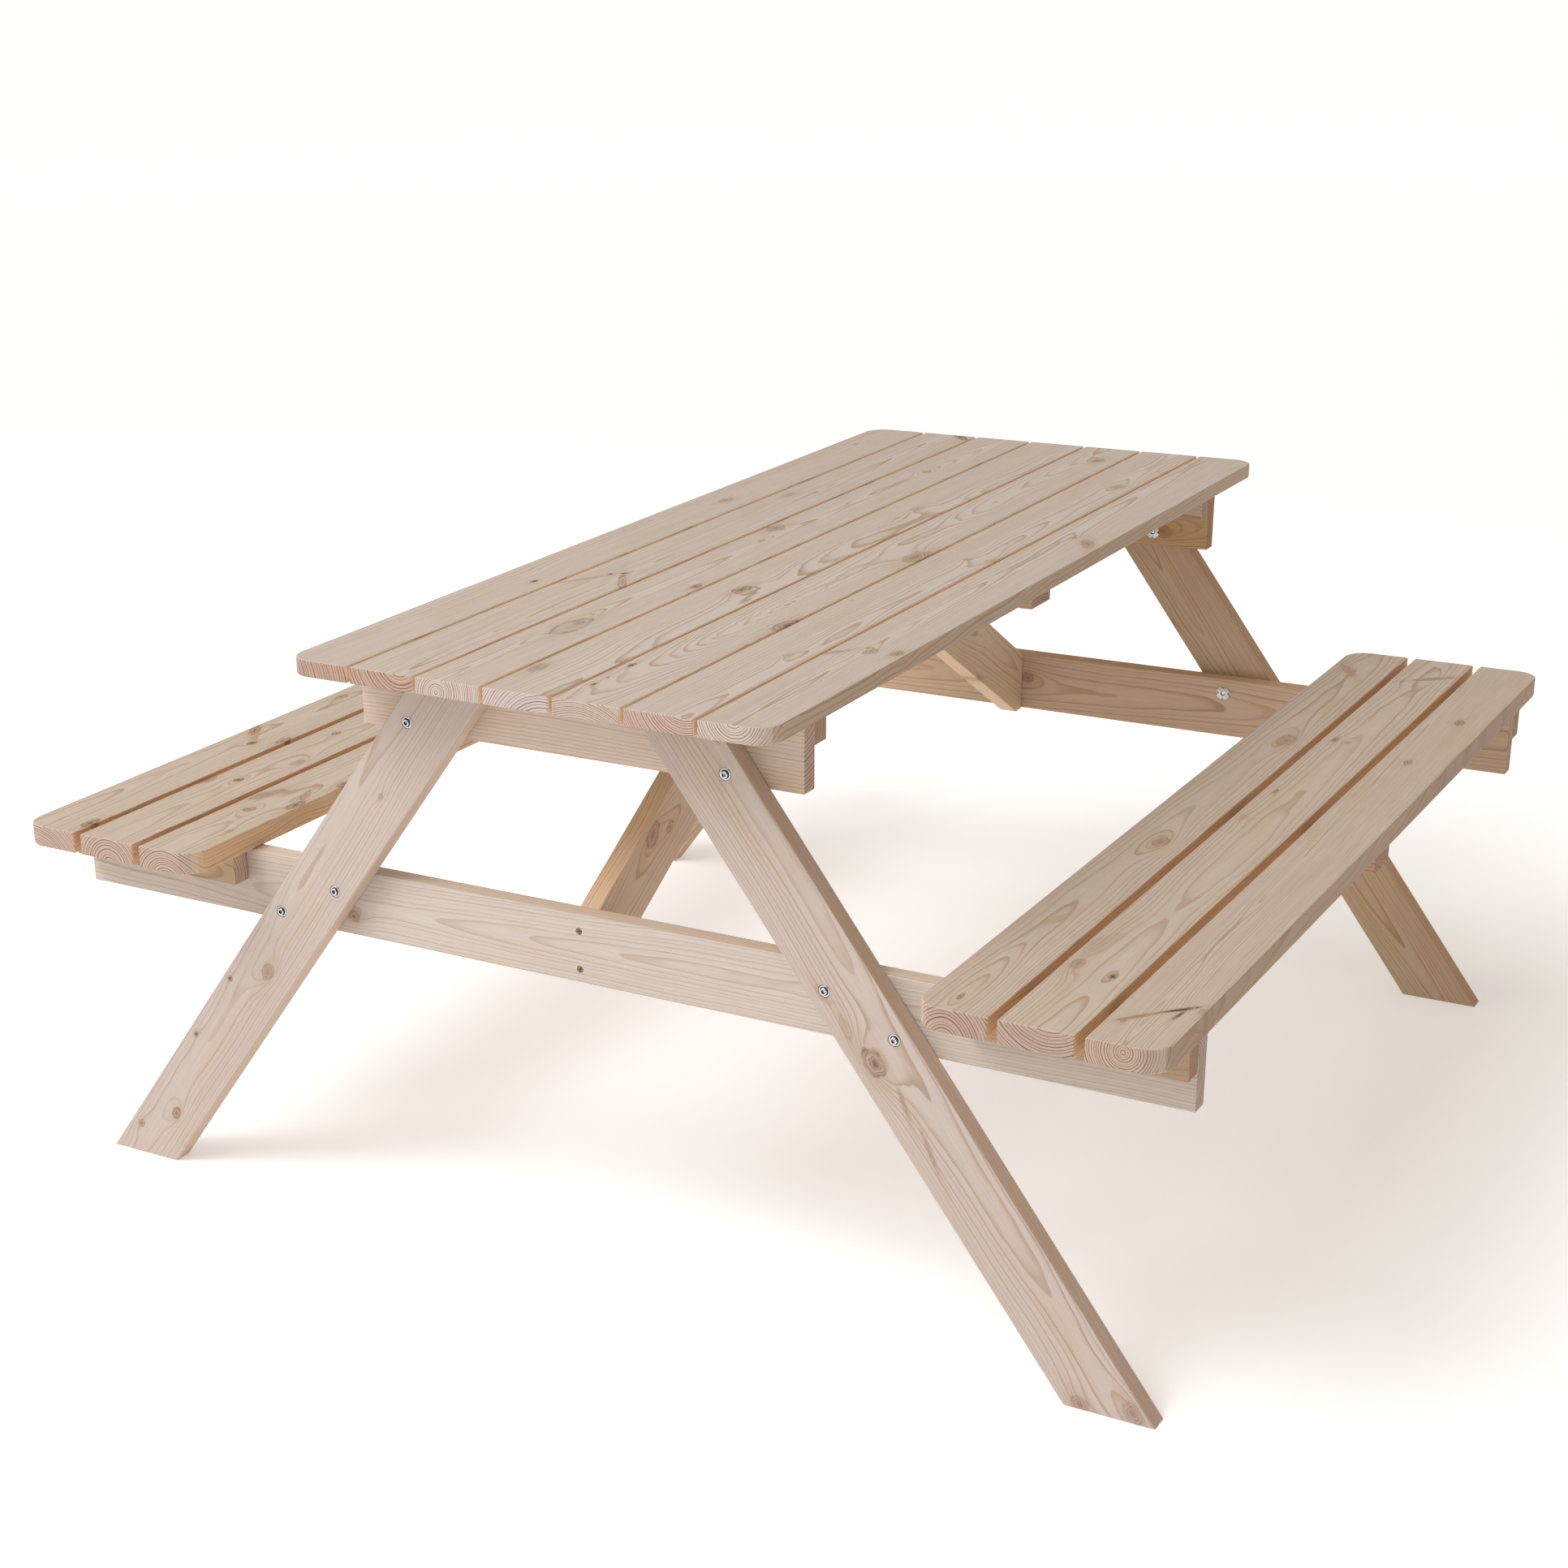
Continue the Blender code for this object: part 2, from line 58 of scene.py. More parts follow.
# Camera, fitted to the photograph's perspective.
CAMERA_PLACE = (1.517, -3.0015, 1.527)
CAMERA_YAW = 31.52
CAMERA_PITCH = 21.72
CAMERA_ROLL = -1.33
CAMERA_LENS = 60.50
CAMERA_SHIFT = (0.0989, 0.1034)
SENSOR_WIDTH = 36.0

# Light: a soft sun and a large softbox, both from the left and the front, and a warm sky. The
# floor glows a little, and more so far away, as a lit studio backdrop does.
KEY_DIRECTION = (0.42, 0.52, -0.74)
KEY_STRENGTH = 1.50
KEY_COLOUR = (0.98, 1.0, 1.06)
KEY_SOFTNESS = 75.0
SOFTBOX_PLACE = (-1.8, -3.0, 4.2)
SOFTBOX_TARGET = (0.0, 0.0, 0.6)
SOFTBOX_SIDE = 2.2
SOFTBOX_POWER = 104.0
SKY_COLOUR = (1.0, 0.87, 0.72)
SKY_STRENGTH = 0.42
FLOOR_COLOUR = (0.92, 0.925, 0.935)
FLOOR_ROUGHNESS = 0.9
FLOOR_HALF_WIDTH = 90.0
FLOOR_GLOW_NEAR = 0.29
FLOOR_GLOW_FAR = 0.36
FLOOR_GLOW_START = 2.5
FLOOR_GLOW_FULL = 14.0

# Pine colours, linear.
WHITE = (1.0, 1.0, 1.0)
EARLYWOOD = (0.550, 0.462, 0.388)
LATEWOOD = (0.370, 0.255, 0.160)
HEART_YELLOW = (0.530, 0.425, 0.300)
PINK_STAIN = (0.545, 0.440, 0.372)
END_EARLYWOOD = (0.620, 0.500, 0.432)
END_LATEWOOD = (0.180, 0.095, 0.072)
KNOT_PALE = (0.455, 0.320, 0.240)
KNOT_RING = (0.200, 0.115, 0.078)
KNOT_BARK = (0.075, 0.045, 0.032)
KNOT_HALO = (0.430, 0.290, 0.160)

# Tints of the boards, of their narrow faces, and of the faces in the gaps between planks. The top,
# seat, leg, near seat beam and brace tints are the pine's tone; the rest are painted light or
# painted shade, as said at each.
TOP_TINT = (1.02, 1.08, 1.15)
SEAT_TINT = (1.0, 1.01, 1.0)
LEG_TINT = (0.92, 0.93, 0.99)
# Painted shade: the far legs are darker and warmer because they stand in the table's shade.
FAR_LEG_PAINTED_SHADE = (0.90, 0.80, 0.64)
# Painted light: brightens the near top beam, which lies in the tabletop's shade.
TOP_BEAM_PAINTED_LIGHT = (1.14, 1.11, 1.11)
SEAT_BEAM_TINT = (1.0, 1.05, 1.12)
# Painted shade: the battens are darker and warmer because they are under the tabletop.
BATTEN_PAINTED_SHADE = (0.98, 0.91, 0.80)
# Painted shade: the far beams are darker and warmer because they are under the table.
FAR_SEAT_BEAM_PAINTED_SHADE = (0.95, 0.83, 0.68)
FAR_TOP_BEAM_PAINTED_SHADE = (0.91, 0.73, 0.46)
# Painted shade: the cleats are darker and warmer because they sit in the seat planks' shade.
CLEAT_PAINTED_SHADE = (0.84, 0.71, 0.55)
BRACE_TINT = (1.10, 1.0, 0.85)
# Painted warm bounce light on the narrow faces of most boards.
EDGE_PAINTED_BOUNCE = (1.12, 1.02, 0.91)
# Painted shade on the planks' outer edges, and darker painted shade on the right bench's outer
# edge.
OUTER_EDGE_PAINTED_SHADE = (0.90, 0.80, 0.68)
SHADED_EDGE_TINT = (0.73, 0.62, 0.53)
# Painted bounce light on the narrow faces of the seat beams and braces.
BEAM_EDGE_PAINTED_BOUNCE = (1.20, 1.15, 1.08)
# Painted warm bounce light on the plank faces in the gaps between planks.
SEAT_GAP_PAINTED_BOUNCE = (1.24, 1.00, 0.74)
TOP_GAP_PAINTED_BOUNCE = (1.52, 1.30, 1.04)

# How strongly the growth rings show: on most boards, on the tabletop, and on two pale boards.
FIGURE = 0.85
TOP_FIGURE = 0.95
PALE_FIGURES = {"leg_near_left": 0.62, "seat_beam_near": 0.68}
# How far growth rings curl near the tabletop's knots, in mm.
TOP_CURL = 3.0

# Patch sizes of the pine's noises, in mm along, across and through the board. The shift keeps
# the pink blush's pattern apart from the yellow patches'.
WANDER_SIZE = (330.0, 190.0, 190.0)
RIPPLE_SIZE = (95.0, 24.0, 60.0)
CURL_SIZE = (15.0, 9.0, 60.0)
STREAK_SIZE = (70.0, 1.5, 1.5)
HAIR_SIZE = (14.0, 0.45, 0.45)
PATCH_SIZE = (210.0, 42.0, 42.0)
BLUSH_SIZE = (330.0, 60.0, 60.0)
BLUSH_SHIFT = (913.0, 77.0, 31.0)
DUCT_SIZE = (8.0, 0.55, 0.55)
PORE_SIZE = (40.0, 0.50, 0.50)
RAY_SIZE = (1.0, 0.030, 0.030)
# How far the pith line wanders, across and through, and how far its rings ripple, in mm.
WANDER_REACH = (0.0, 18.0, 14.0)
RIPPLE_REACH = 2.4
# Rings come closer together and further apart over this distance from the pith, in mm.
UNEVEN_SPACING = 11.0
# How squarely a face looks along the grain, or across it, when end grain, or an edge's painted
# light and shade, starts to show and when it shows in full. 1 is exactly square.
END_FACING = (0.55, 0.92)
EDGE_FACING = (0.72, 0.98)
PINE_SHEEN = 0.30
PINE_BUMP_STRENGTH = 0.35
PINE_BUMP_DEPTH = 0.0004
# Knots. One runs right through its board, so its half height in mm only has to be large. Its
# ragged edge and the gaps in its bark have sizes as shares of its own.
KNOT_HALF_HEIGHT = 400.0
KNOT_RAG_SIZE = (1.1, 1.1, 1.1)
KNOT_RAG_REACH = (0.75, 0.75, 0.75)
KNOT_GAP_SIZE = (0.8, 0.8, 0.8)
KNOT_HALO_SHAPE = (0.62, 1.0, 1.0)
KNOT_BELL_SCALE = (1.9, 1.25, 1.0)
KNOT_BELL_MARGIN = (9.0, 4.5, 0.0)
KNOT_RINGS_PER_MM = 0.24
KNOT_LEAST_RINGS = 0.9

# Hardware, in metres.
# Painted dark reflection on the bolt heads' and nuts' rims, and painted shade on their socket and
# bore walls.
ZINC_PAINTED_REFLECTION_AND_SHADE = (0.10, 0.10, 0.11)
ZINC_PALE, ZINC_DULL, ZINC_ROUGHNESS = (0.78, 0.79, 0.82), (0.50, 0.51, 0.54), 0.24
NUT_PALE, NUT_DULL, NUT_ROUGHNESS = (0.72, 0.72, 0.72), (0.48, 0.48, 0.48), 0.36
YELLOW_PALE, YELLOW_DULL, YELLOW_ROUGHNESS = (0.30, 0.24, 0.15), (0.13, 0.105, 0.075), 0.42
METAL_BUMP_STRENGTH = 0.12
METAL_BUMP_DEPTH = 0.0002
LATHE_STEPS = 48
SHARP_EDGE = 38.0
BOLT_HEAD_HEIGHT = 0.0038
BOLT_SHANK_RADIUS = 0.0030
BOLT_RIM_HEIGHT = 0.0011
BOLT_RIM_SLOPE = 0.0004
BOLT_RIM_WIDTH = 0.0010
BOLT_GROOVE_FLOOR = 0.0004
BOLT_DOME_INSET = 0.0018
BOLT_DOME_FOOT = 0.0008
BOLT_DOME_ROUNDNESS = 0.92
BOLT_DOME_STEPS = 7
BOLT_SOCKET_FLATS = 0.0048
BOLT_SOCKET_DEPTH = 0.0032
BOLT_SOCKET_LIP = 0.0004
NUT_FLANGE_THICKNESS = 0.0013
NUT_NOTCH_DEPTH = 0.0042
NUT_BARREL_RADIUS = 0.0043
NUT_BORE_RADIUS = 0.0032
NUT_BORE_FLOOR = 0.0030
NUT_BORE_DEPTH = 0.0060
NUT_LIP_SPREAD = 0.0014
CHAMFER = 0.0006
EASE = 0.0003
SMALL_CHAMFER = 0.0002
SCREW_RECESS_DEPTH = 0.0022
UNDERSIDE_SCREW_RADIUS = 0.0038
UNDERSIDE_SCREW_LENGTH = 0.012
UNDERSIDE_SCREW_PROUD = 0.00015
UNDERSIDE_SCREW_NEAREST_END = 0.008
UNDERSIDE_SCREW_INSET = 0.012


# ---------------------------------------------------------------- node trees

# Sockets of the colour mix node, which has others of the same names for numbers and vectors.
MIX_FACTOR, MIX_FIRST, MIX_SECOND, MIX_RESULT = 0, 6, 7, 2


class Graph:
    """A node tree in the making. Each helper adds a node and returns the socket to read next."""

    def __init__(self, tree):
        self.tree = tree

    def add(self, kind, **settings):
        node = self.tree.nodes.new(kind)
        for name, value in settings.items():
            setattr(node, name, value)
        return node

    def feed(self, socket, value):
        if isinstance(value, bpy.types.NodeSocket):
            self.tree.links.new(value, socket)
        else:
            socket.default_value = value

    def math(self, operation, *inputs, clamp=False):
        node = self.add("ShaderNodeMath", operation=operation, use_clamp=clamp)
        for socket, value in zip(node.inputs, inputs):
            self.feed(socket, value)
        return node.outputs[0]

    def vector(self, operation, *inputs):
        node = self.add("ShaderNodeVectorMath", operation=operation)
        for socket, value in zip(node.inputs, inputs):
            self.feed(socket, value)
        if operation in ("LENGTH", "DOT_PRODUCT"):
            return node.outputs["Value"]
        return node.outputs["Vector"]

    def split(self, vector):
        node = self.add("ShaderNodeSeparateXYZ")
        self.feed(node.inputs[0], vector)
        return node.outputs[0], node.outputs[1], node.outputs[2]

    def join(self, x, y, z):
        node = self.add("ShaderNodeCombineXYZ")
        for socket, value in zip(node.inputs, (x, y, z)):
            self.feed(socket, value)
        return node.outputs[0]

    def noise_node(self, position, detail):
        node = self.add("ShaderNodeTexNoise", noise_dimensions="3D")
        self.feed(node.inputs["Vector"], position)
        node.inputs["Scale"].default_value = 1.0
        node.inputs["Detail"].default_value = detail
        node.inputs["Roughness"].default_value = 0.55
        return node

    def noise(self, position, grain_sizes, detail=1.0):
        """Smooth noise about 0, whose patches are as long along each axis as grain_sizes."""
        scaled = self.vector("DIVIDE", position, grain_sizes)
        return self.math("SUBTRACT", self.noise_node(scaled, detail).outputs["Fac"], 0.5)

    def noise_vector(self, position, grain_sizes, detail=1.0):
        scaled = self.vector("DIVIDE", position, grain_sizes)
        colour = self.noise_node(scaled, detail).outputs["Color"]
        return self.vector("SUBTRACT", colour, (0.5, 0.5, 0.5))

    def step(self, value, low, high, bottom=0.0, top=1.0):
        """Rises smoothly from bottom to top as value goes from low to high."""
        node = self.add("ShaderNodeMapRange", interpolation_type="SMOOTHSTEP")
        for socket, number in zip(node.inputs, (value, low, high, bottom, top)):
            self.feed(socket, number)
        return node.outputs[0]

    def mix(self, factor, first, second):
        """Blends two colours."""
        node = self.add("ShaderNodeMix", data_type="RGBA")
        self.feed(node.inputs[MIX_FACTOR], factor)
        for place, colour in ((MIX_FIRST, first), (MIX_SECOND, second)):
            self.feed(node.inputs[place], opaque(colour) if isinstance(colour, tuple) else colour)
        return node.outputs[MIX_RESULT]

    def scale_colour(self, colour, factor):
        """Brightens or darkens a colour by a factor that varies over the surface."""
        node = self.add("ShaderNodeVectorMath", operation="SCALE")
        self.feed(node.inputs[0], colour)
        self.feed(node.inputs["Scale"], factor)
        return node.outputs["Vector"]

    def bump(self, shader, height, strength, depth):
        """Raises the shader's surface by height, where 1 stands for depth in metres."""
        node = self.add("ShaderNodeBump")
        node.inputs["Strength"].default_value = strength
        node.inputs["Distance"].default_value = depth
        self.feed(node.inputs["Height"], height)
        self.feed(shader.inputs["Normal"], node.outputs[0])

    def use(self, group, **inputs):
        """Adds a node group; underscores in the names stand for spaces."""
        node = self.add("ShaderNodeGroup", node_tree=group)
        for name, value in inputs.items():
            self.feed(node.inputs[name.replace("_", " ")], value)
        return node.outputs


def opaque(colour):
    return (*colour, 1.0)


def new_group(name, inputs, outputs):
    """An empty node group, its Graph, the sockets that bring its inputs, and the sockets that
    take its outputs. Inputs and outputs give each socket's kind by name."""
    tree = bpy.data.node_groups.new(name, "ShaderNodeTree")
    for label, kind in inputs.items():
        tree.interface.new_socket(label, in_out="INPUT", socket_type="NodeSocket" + kind)
    for label, kind in outputs.items():
        tree.interface.new_socket(label, in_out="OUTPUT", socket_type="NodeSocket" + kind)
    graph = Graph(tree)
    source = graph.add("NodeGroupInput")
    sink = graph.add("NodeGroupOutput")
    return tree, graph, source.outputs, sink.inputs


def new_material(name):
    """An empty node material, its Graph and its Principled shader."""
    material = bpy.data.materials.new(name)
    material.use_nodes = True
    graph = Graph(material.node_tree)
    material.node_tree.nodes.clear()
    shader = graph.add("ShaderNodeBsdfPrincipled")
    output = graph.add("ShaderNodeOutputMaterial")
    graph.feed(output.inputs["Surface"], shader.outputs["BSDF"])
    return material, graph, shader


# ---------------------------------------------------------------- pine

def knot_marks(graph, given, distance, rough_edge, own_place):
    """How much of the knot's own wood, its dark bark ring and the stained halo round it shows."""
    wood = graph.math("MULTIPLY", graph.step(distance, 0.80, 1.05, 1.0, 0.0), given["Wood"])
    inside_edge = graph.step(distance, 0.74, 0.98)
    outside_edge = graph.step(distance, 0.98, 1.20, 1.0, 0.0)
    broken = graph.step(graph.noise(own_place, KNOT_GAP_SIZE), -0.10, 0.12, 0.45, 1.0)
    bark = graph.math("MULTIPLY", graph.math("MULTIPLY", inside_edge, outside_edge), given["Bark"])
    bark = graph.math("MULTIPLY", bark, broken)
    # A knot with a very dark ring is dark right to its middle.
    dark_core = graph.math("MULTIPLY", graph.step(distance, 0.2, 1.0, 1.0, 0.0),
                           graph.step(given["Bark"], 0.75, 1.0))
    bark = graph.math("MAXIMUM", bark, dark_core)
    stretched = graph.vector("LENGTH", graph.vector("MULTIPLY", rough_edge, KNOT_HALO_SHAPE))
    halo = graph.math("MULTIPLY", graph.step(stretched, 0.6, 2.2, 1.0, 0.0), given["Wood"])
    return graph.join(wood, bark, halo), wood


def knot_swell(graph, given, offset):
    """How far growth rings bend round the knot: a bell over it, somewhat wider than it is."""
    spread = graph.vector("MULTIPLY_ADD", given["Size"], KNOT_BELL_SCALE, KNOT_BELL_MARGIN)
    reach = graph.vector("LENGTH", graph.vector("DIVIDE", offset, spread))
    bell = graph.math("EXPONENT", graph.math("MULTIPLY", graph.math("POWER", reach, 2.0), -1.0))
    return graph.math("MULTIPLY_ADD", bell, given["Bulge"], given["Swell"])


def knot_rings(graph, given, distance, wood):
    """The knot's own rings, more of them in a wider knot, and its dark heart."""
    _, half_width, _ = graph.split(given["Size"])
    ring_count = graph.math("MULTIPLY_ADD", half_width, KNOT_RINGS_PER_MM, KNOT_LEAST_RINGS)
    own_rings = graph.math("FRACT", graph.math("MULTIPLY", distance, ring_count))
    dark_ring = graph.step(own_rings, 0.45, 0.95, 0.0, 0.75)
    heart = graph.step(distance, 0.05, 0.60, 1.0, 0.0)
    dark_heart = graph.math("MULTIPLY", heart, graph.math("ADD", given["Bark"], 0.40))
    return graph.math("MULTIPLY", graph.math("MAXIMUM", dark_ring, dark_heart), wood)


def build_knot_group():
    """One knot, added to what the knots before it have left: Marks holds the knots' wood, bark
    and halo, Swell is how far they bend the growth rings, and Rings is how dark their wood is."""
    tree, graph, given, result = new_group(
        "knot",
        {
            "Position": "Vector", "Centre": "Vector", "Size": "Vector", "Turn": "Float",
            "Wood": "Float", "Bark": "Float", "Bulge": "Float",
            "Marks": "Vector", "Swell": "Float", "Rings": "Float",
        },
        {"Marks": "Vector", "Swell": "Float", "Rings": "Float"},
    )
    offset = graph.vector("SUBTRACT", given["Position"], given["Centre"])
    turned = graph.add("ShaderNodeVectorRotate", rotation_type="Z_AXIS")
    graph.feed(turned.inputs["Vector"], offset)
    graph.feed(turned.inputs["Angle"], given["Turn"])
    in_knot = graph.vector("DIVIDE", turned.outputs["Vector"], given["Size"])
    own_place = graph.vector("ADD", in_knot, given["Centre"])
    ragged = graph.noise_vector(own_place, KNOT_RAG_SIZE, 2.0)
    rough_edge = graph.vector("MULTIPLY_ADD", ragged, KNOT_RAG_REACH, in_knot)
    # This is 1 along the knot's edge.
    distance = graph.vector("LENGTH", rough_edge)

    marks, wood = knot_marks(graph, given, distance, rough_edge, own_place)
    graph.feed(result["Marks"], graph.vector("MAXIMUM", given["Marks"], marks))
    graph.feed(result["Swell"], knot_swell(graph, given, offset))
    dark_wood = knot_rings(graph, given, distance, wood)
    graph.feed(result["Rings"], graph.math("MAXIMUM", dark_wood, given["Rings"]))
    return tree


def ring_radius(graph, given, here):
    """Distance from the pith line, which drifts and wanders along the board, bent near knots.
    Also returns the direction away from the pith."""
    along, _, _ = graph.split(given["Position"])
    pith = graph.vector("MULTIPLY_ADD", given["Drift"], graph.join(along, along, along),
                        given["Pith"])
    from_pith = graph.vector("SUBTRACT", given["Position"], pith)
    wander = graph.noise_vector(here, WANDER_SIZE)
    from_pith = graph.vector("MULTIPLY_ADD", wander, WANDER_REACH, from_pith)
    from_pith = graph.vector("MULTIPLY", from_pith, (0.0, 1.0, 1.0))
    ripple = graph.noise(here, RIPPLE_SIZE, 2.0)
    radius = graph.math("MULTIPLY_ADD", ripple, RIPPLE_REACH, graph.vector("LENGTH", from_pith))
    curl = graph.noise(here, CURL_SIZE)
    near_knot = graph.step(given["Swell"], 0.5, 7.0, 0.0, given["Curl"])
    radius = graph.math("MULTIPLY_ADD", curl, near_knot, radius)
    return graph.math("SUBTRACT", radius, given["Swell"]), from_pith


def latewood(graph, radius, ring_gap):
    """Growth rings: pale earlywood that darkens slowly, then drops back at the ring's edge. Some
    years are darker than others."""
    years = graph.math("DIVIDE", radius, ring_gap)
    spacing = graph.join(graph.math("DIVIDE", radius, UNEVEN_SPACING), 0.0, 0.0)
    years = graph.math("MULTIPLY_ADD", graph.noise(spacing, (1.0, 1.0, 1.0)), 1.8, years)
    season = graph.math("FRACT", years)
    vigour = graph.add("ShaderNodeTexWhiteNoise", noise_dimensions="1D")
    graph.feed(vigour.inputs["W"], graph.math("FLOOR", years))
    darkness = graph.math("MULTIPLY_ADD", vigour.outputs["Value"], 0.60, 0.45)
    soft_rise = graph.step(season, 0.15, 0.95, 0.0, 0.18)
    sharp_rise = graph.step(season, 0.58, 0.94, 0.0, 0.82)
    drop = graph.step(season, 0.94, 1.0, 1.0, 0.0)
    late = graph.math("MULTIPLY", graph.math("ADD", soft_rise, sharp_rise), drop)
    return graph.math("MULTIPLY", late, darkness)


def face_colour(graph, given, here, late, streak, hair):
    """Colour of planed faces: warm patches, rings, resin ducts and fibres, then the knots."""
    patch = graph.noise(here, PATCH_SIZE, 2.0)
    blush = graph.noise(graph.vector("ADD", here, BLUSH_SHIFT), BLUSH_SIZE)
    duct = graph.noise(here, DUCT_SIZE, 0.0)
    colour = graph.mix(graph.step(patch, 0.02, 0.22, 0.0, 0.55), EARLYWOOD, HEART_YELLOW)
    colour = graph.mix(graph.step(blush, 0.0, 0.20, 0.0, 0.60), colour, PINK_STAIN)
    colour = graph.mix(graph.math("MULTIPLY", late, given["Figure"]), colour, LATEWOOD)
    colour = graph.mix(graph.step(duct, 0.24, 0.30, 0.0, 0.25), colour, LATEWOOD)
    fibre = graph.math("MULTIPLY_ADD", streak, 0.34, 1.0)
    colour = graph.scale_colour(colour, graph.math("MULTIPLY_ADD", hair, 0.16, fibre))

    knot_wood, knot_bark, knot_halo = graph.split(given["Marks"])
    colour = graph.mix(graph.math("MULTIPLY", knot_halo, 0.40), colour, KNOT_HALO)
    heart = graph.mix(given["Rings"], KNOT_PALE, KNOT_RING)
    heart = graph.scale_colour(heart, graph.math("MULTIPLY_ADD", hair, 0.5, 1.0))
    colour = graph.mix(knot_wood, colour, heart)
    return graph.mix(knot_bark, colour, KNOT_BARK)


def end_grain_colour(graph, given, late, pore, from_pith):
    """Colour of sawn ends: stronger rings, pores, and faint rays that run out from the pith."""
    ray = graph.noise(graph.vector("NORMALIZE", from_pith), RAY_SIZE)
    line = graph.math("MULTIPLY", graph.math("POWER", late, 1.3), 1.50, clamp=True)
    colour = graph.mix(line, END_EARLYWOOD, END_LATEWOOD)
    shade = graph.math("MULTIPLY_ADD", pore, 0.75, 1.0)
    colour = graph.scale_colour(colour, graph.math("MULTIPLY_ADD", ray, 0.16, shade))
    return graph.vector("MULTIPLY", colour, given["End Tint"])


def build_pine_group():
    """Planed pine. Position is in board millimetres: X along the grain, Y across, Z through."""
    tree, graph, given, result = new_group(
        "pine",
        {
            "Position": "Vector", "Pith": "Vector", "Drift": "Vector", "Ring Gap": "Float",
            "Seed": "Vector", "Marks": "Vector", "Swell": "Float", "Rings": "Float",
            "End": "Float", "Figure": "Float", "Curl": "Float",
            "Tint": "Color", "Edge Tint": "Color", "End Tint": "Color",
        },
        {"Color": "Color", "Roughness": "Float", "Height": "Float"},
    )
    here = graph.vector("ADD", given["Position"], given["Seed"])
    radius, from_pith = ring_radius(graph, given, here)
    late = latewood(graph, radius, given["Ring Gap"])
    streak = graph.noise(here, STREAK_SIZE, 3.0)
    hair = graph.noise(here, HAIR_SIZE, 2.0)
    pore = graph.noise(here, PORE_SIZE)

    face = face_colour(graph, given, here, late, streak, hair)
    end = end_grain_colour(graph, given, late, pore, from_pith)
    colour = graph.mix(given["End"], face, end)
    # The tint is the board's tone, or painted shade or painted light; the edge tint is painted
    # bounce light or painted shade on the narrow faces.
    colour = graph.vector("MULTIPLY", colour, given["Tint"])
    graph.feed(result["Color"], graph.vector("MULTIPLY", colour, given["Edge Tint"]))

    knot_wood, knot_bark, _ = graph.split(given["Marks"])
    roughness = graph.math("MULTIPLY_ADD", streak, 0.20, 0.60)
    roughness = graph.math("MULTIPLY_ADD", late, -0.08, roughness)
    roughness = graph.math("MULTIPLY_ADD", knot_wood, -0.10, roughness)
    roughness = graph.math("MULTIPLY_ADD", given["End"], 0.14, roughness)
    graph.feed(result["Roughness"], roughness)

    height = graph.math("MULTIPLY_ADD", late, 0.35, graph.math("MULTIPLY", streak, 0.7))
    height = graph.math("MULTIPLY_ADD", hair, 0.5, height)
    height = graph.math("MULTIPLY_ADD", knot_bark, -0.8, height)
    pitted = graph.math("MULTIPLY", pore, given["End"])
    graph.feed(result["Height"], graph.math("MULTIPLY_ADD", pitted, 1.2, height))
    return tree


# Face directions closer than this, in degrees, count as one. Two directions are square to each
# other below the first cosine, and a board leans above the second.
SAME_DIRECTION = 2.0
SQUARE = 0.02
LEANING = 0.3


def pointing_up(direction):
    """The direction or its opposite, whichever has its largest part above 0."""
    return -direction if max(direction, key=abs) < 0 else direction.copy()


def board_axes(node):
    """The board's grain, width and through directions, from the sizes of its CAD faces. The grain
    of a leaning board points down it."""
    areas = {}
    for face in node.data.polygons:
        facing = pointing_up(face.normal)
        found = next((n for n in areas if n.angle(facing) < math.radians(SAME_DIRECTION)),
                     None)
        if found is None:
            found = facing.freeze()
        areas[found] = areas.get(found, 0.0) + face.area
    through = max(areas, key=areas.get)
    square = {n: a for n, a in areas.items() if abs(n.dot(through)) < SQUARE}
    width = max(square, key=square.get)
    grain = pointing_up(width.cross(through).normalized())
    if grain.z > LEANING:
        grain = -grain
    return grain, width, grain.cross(width)


def board_centre(node, axes):
    """Middle of the board's extent along each of its own axes."""
    centre = Vector()
    for axis in axes:
        reach = [vertex.co.dot(axis) for vertex in node.data.vertices]
        centre += axis * (min(reach) + max(reach)) / 2
    return centre


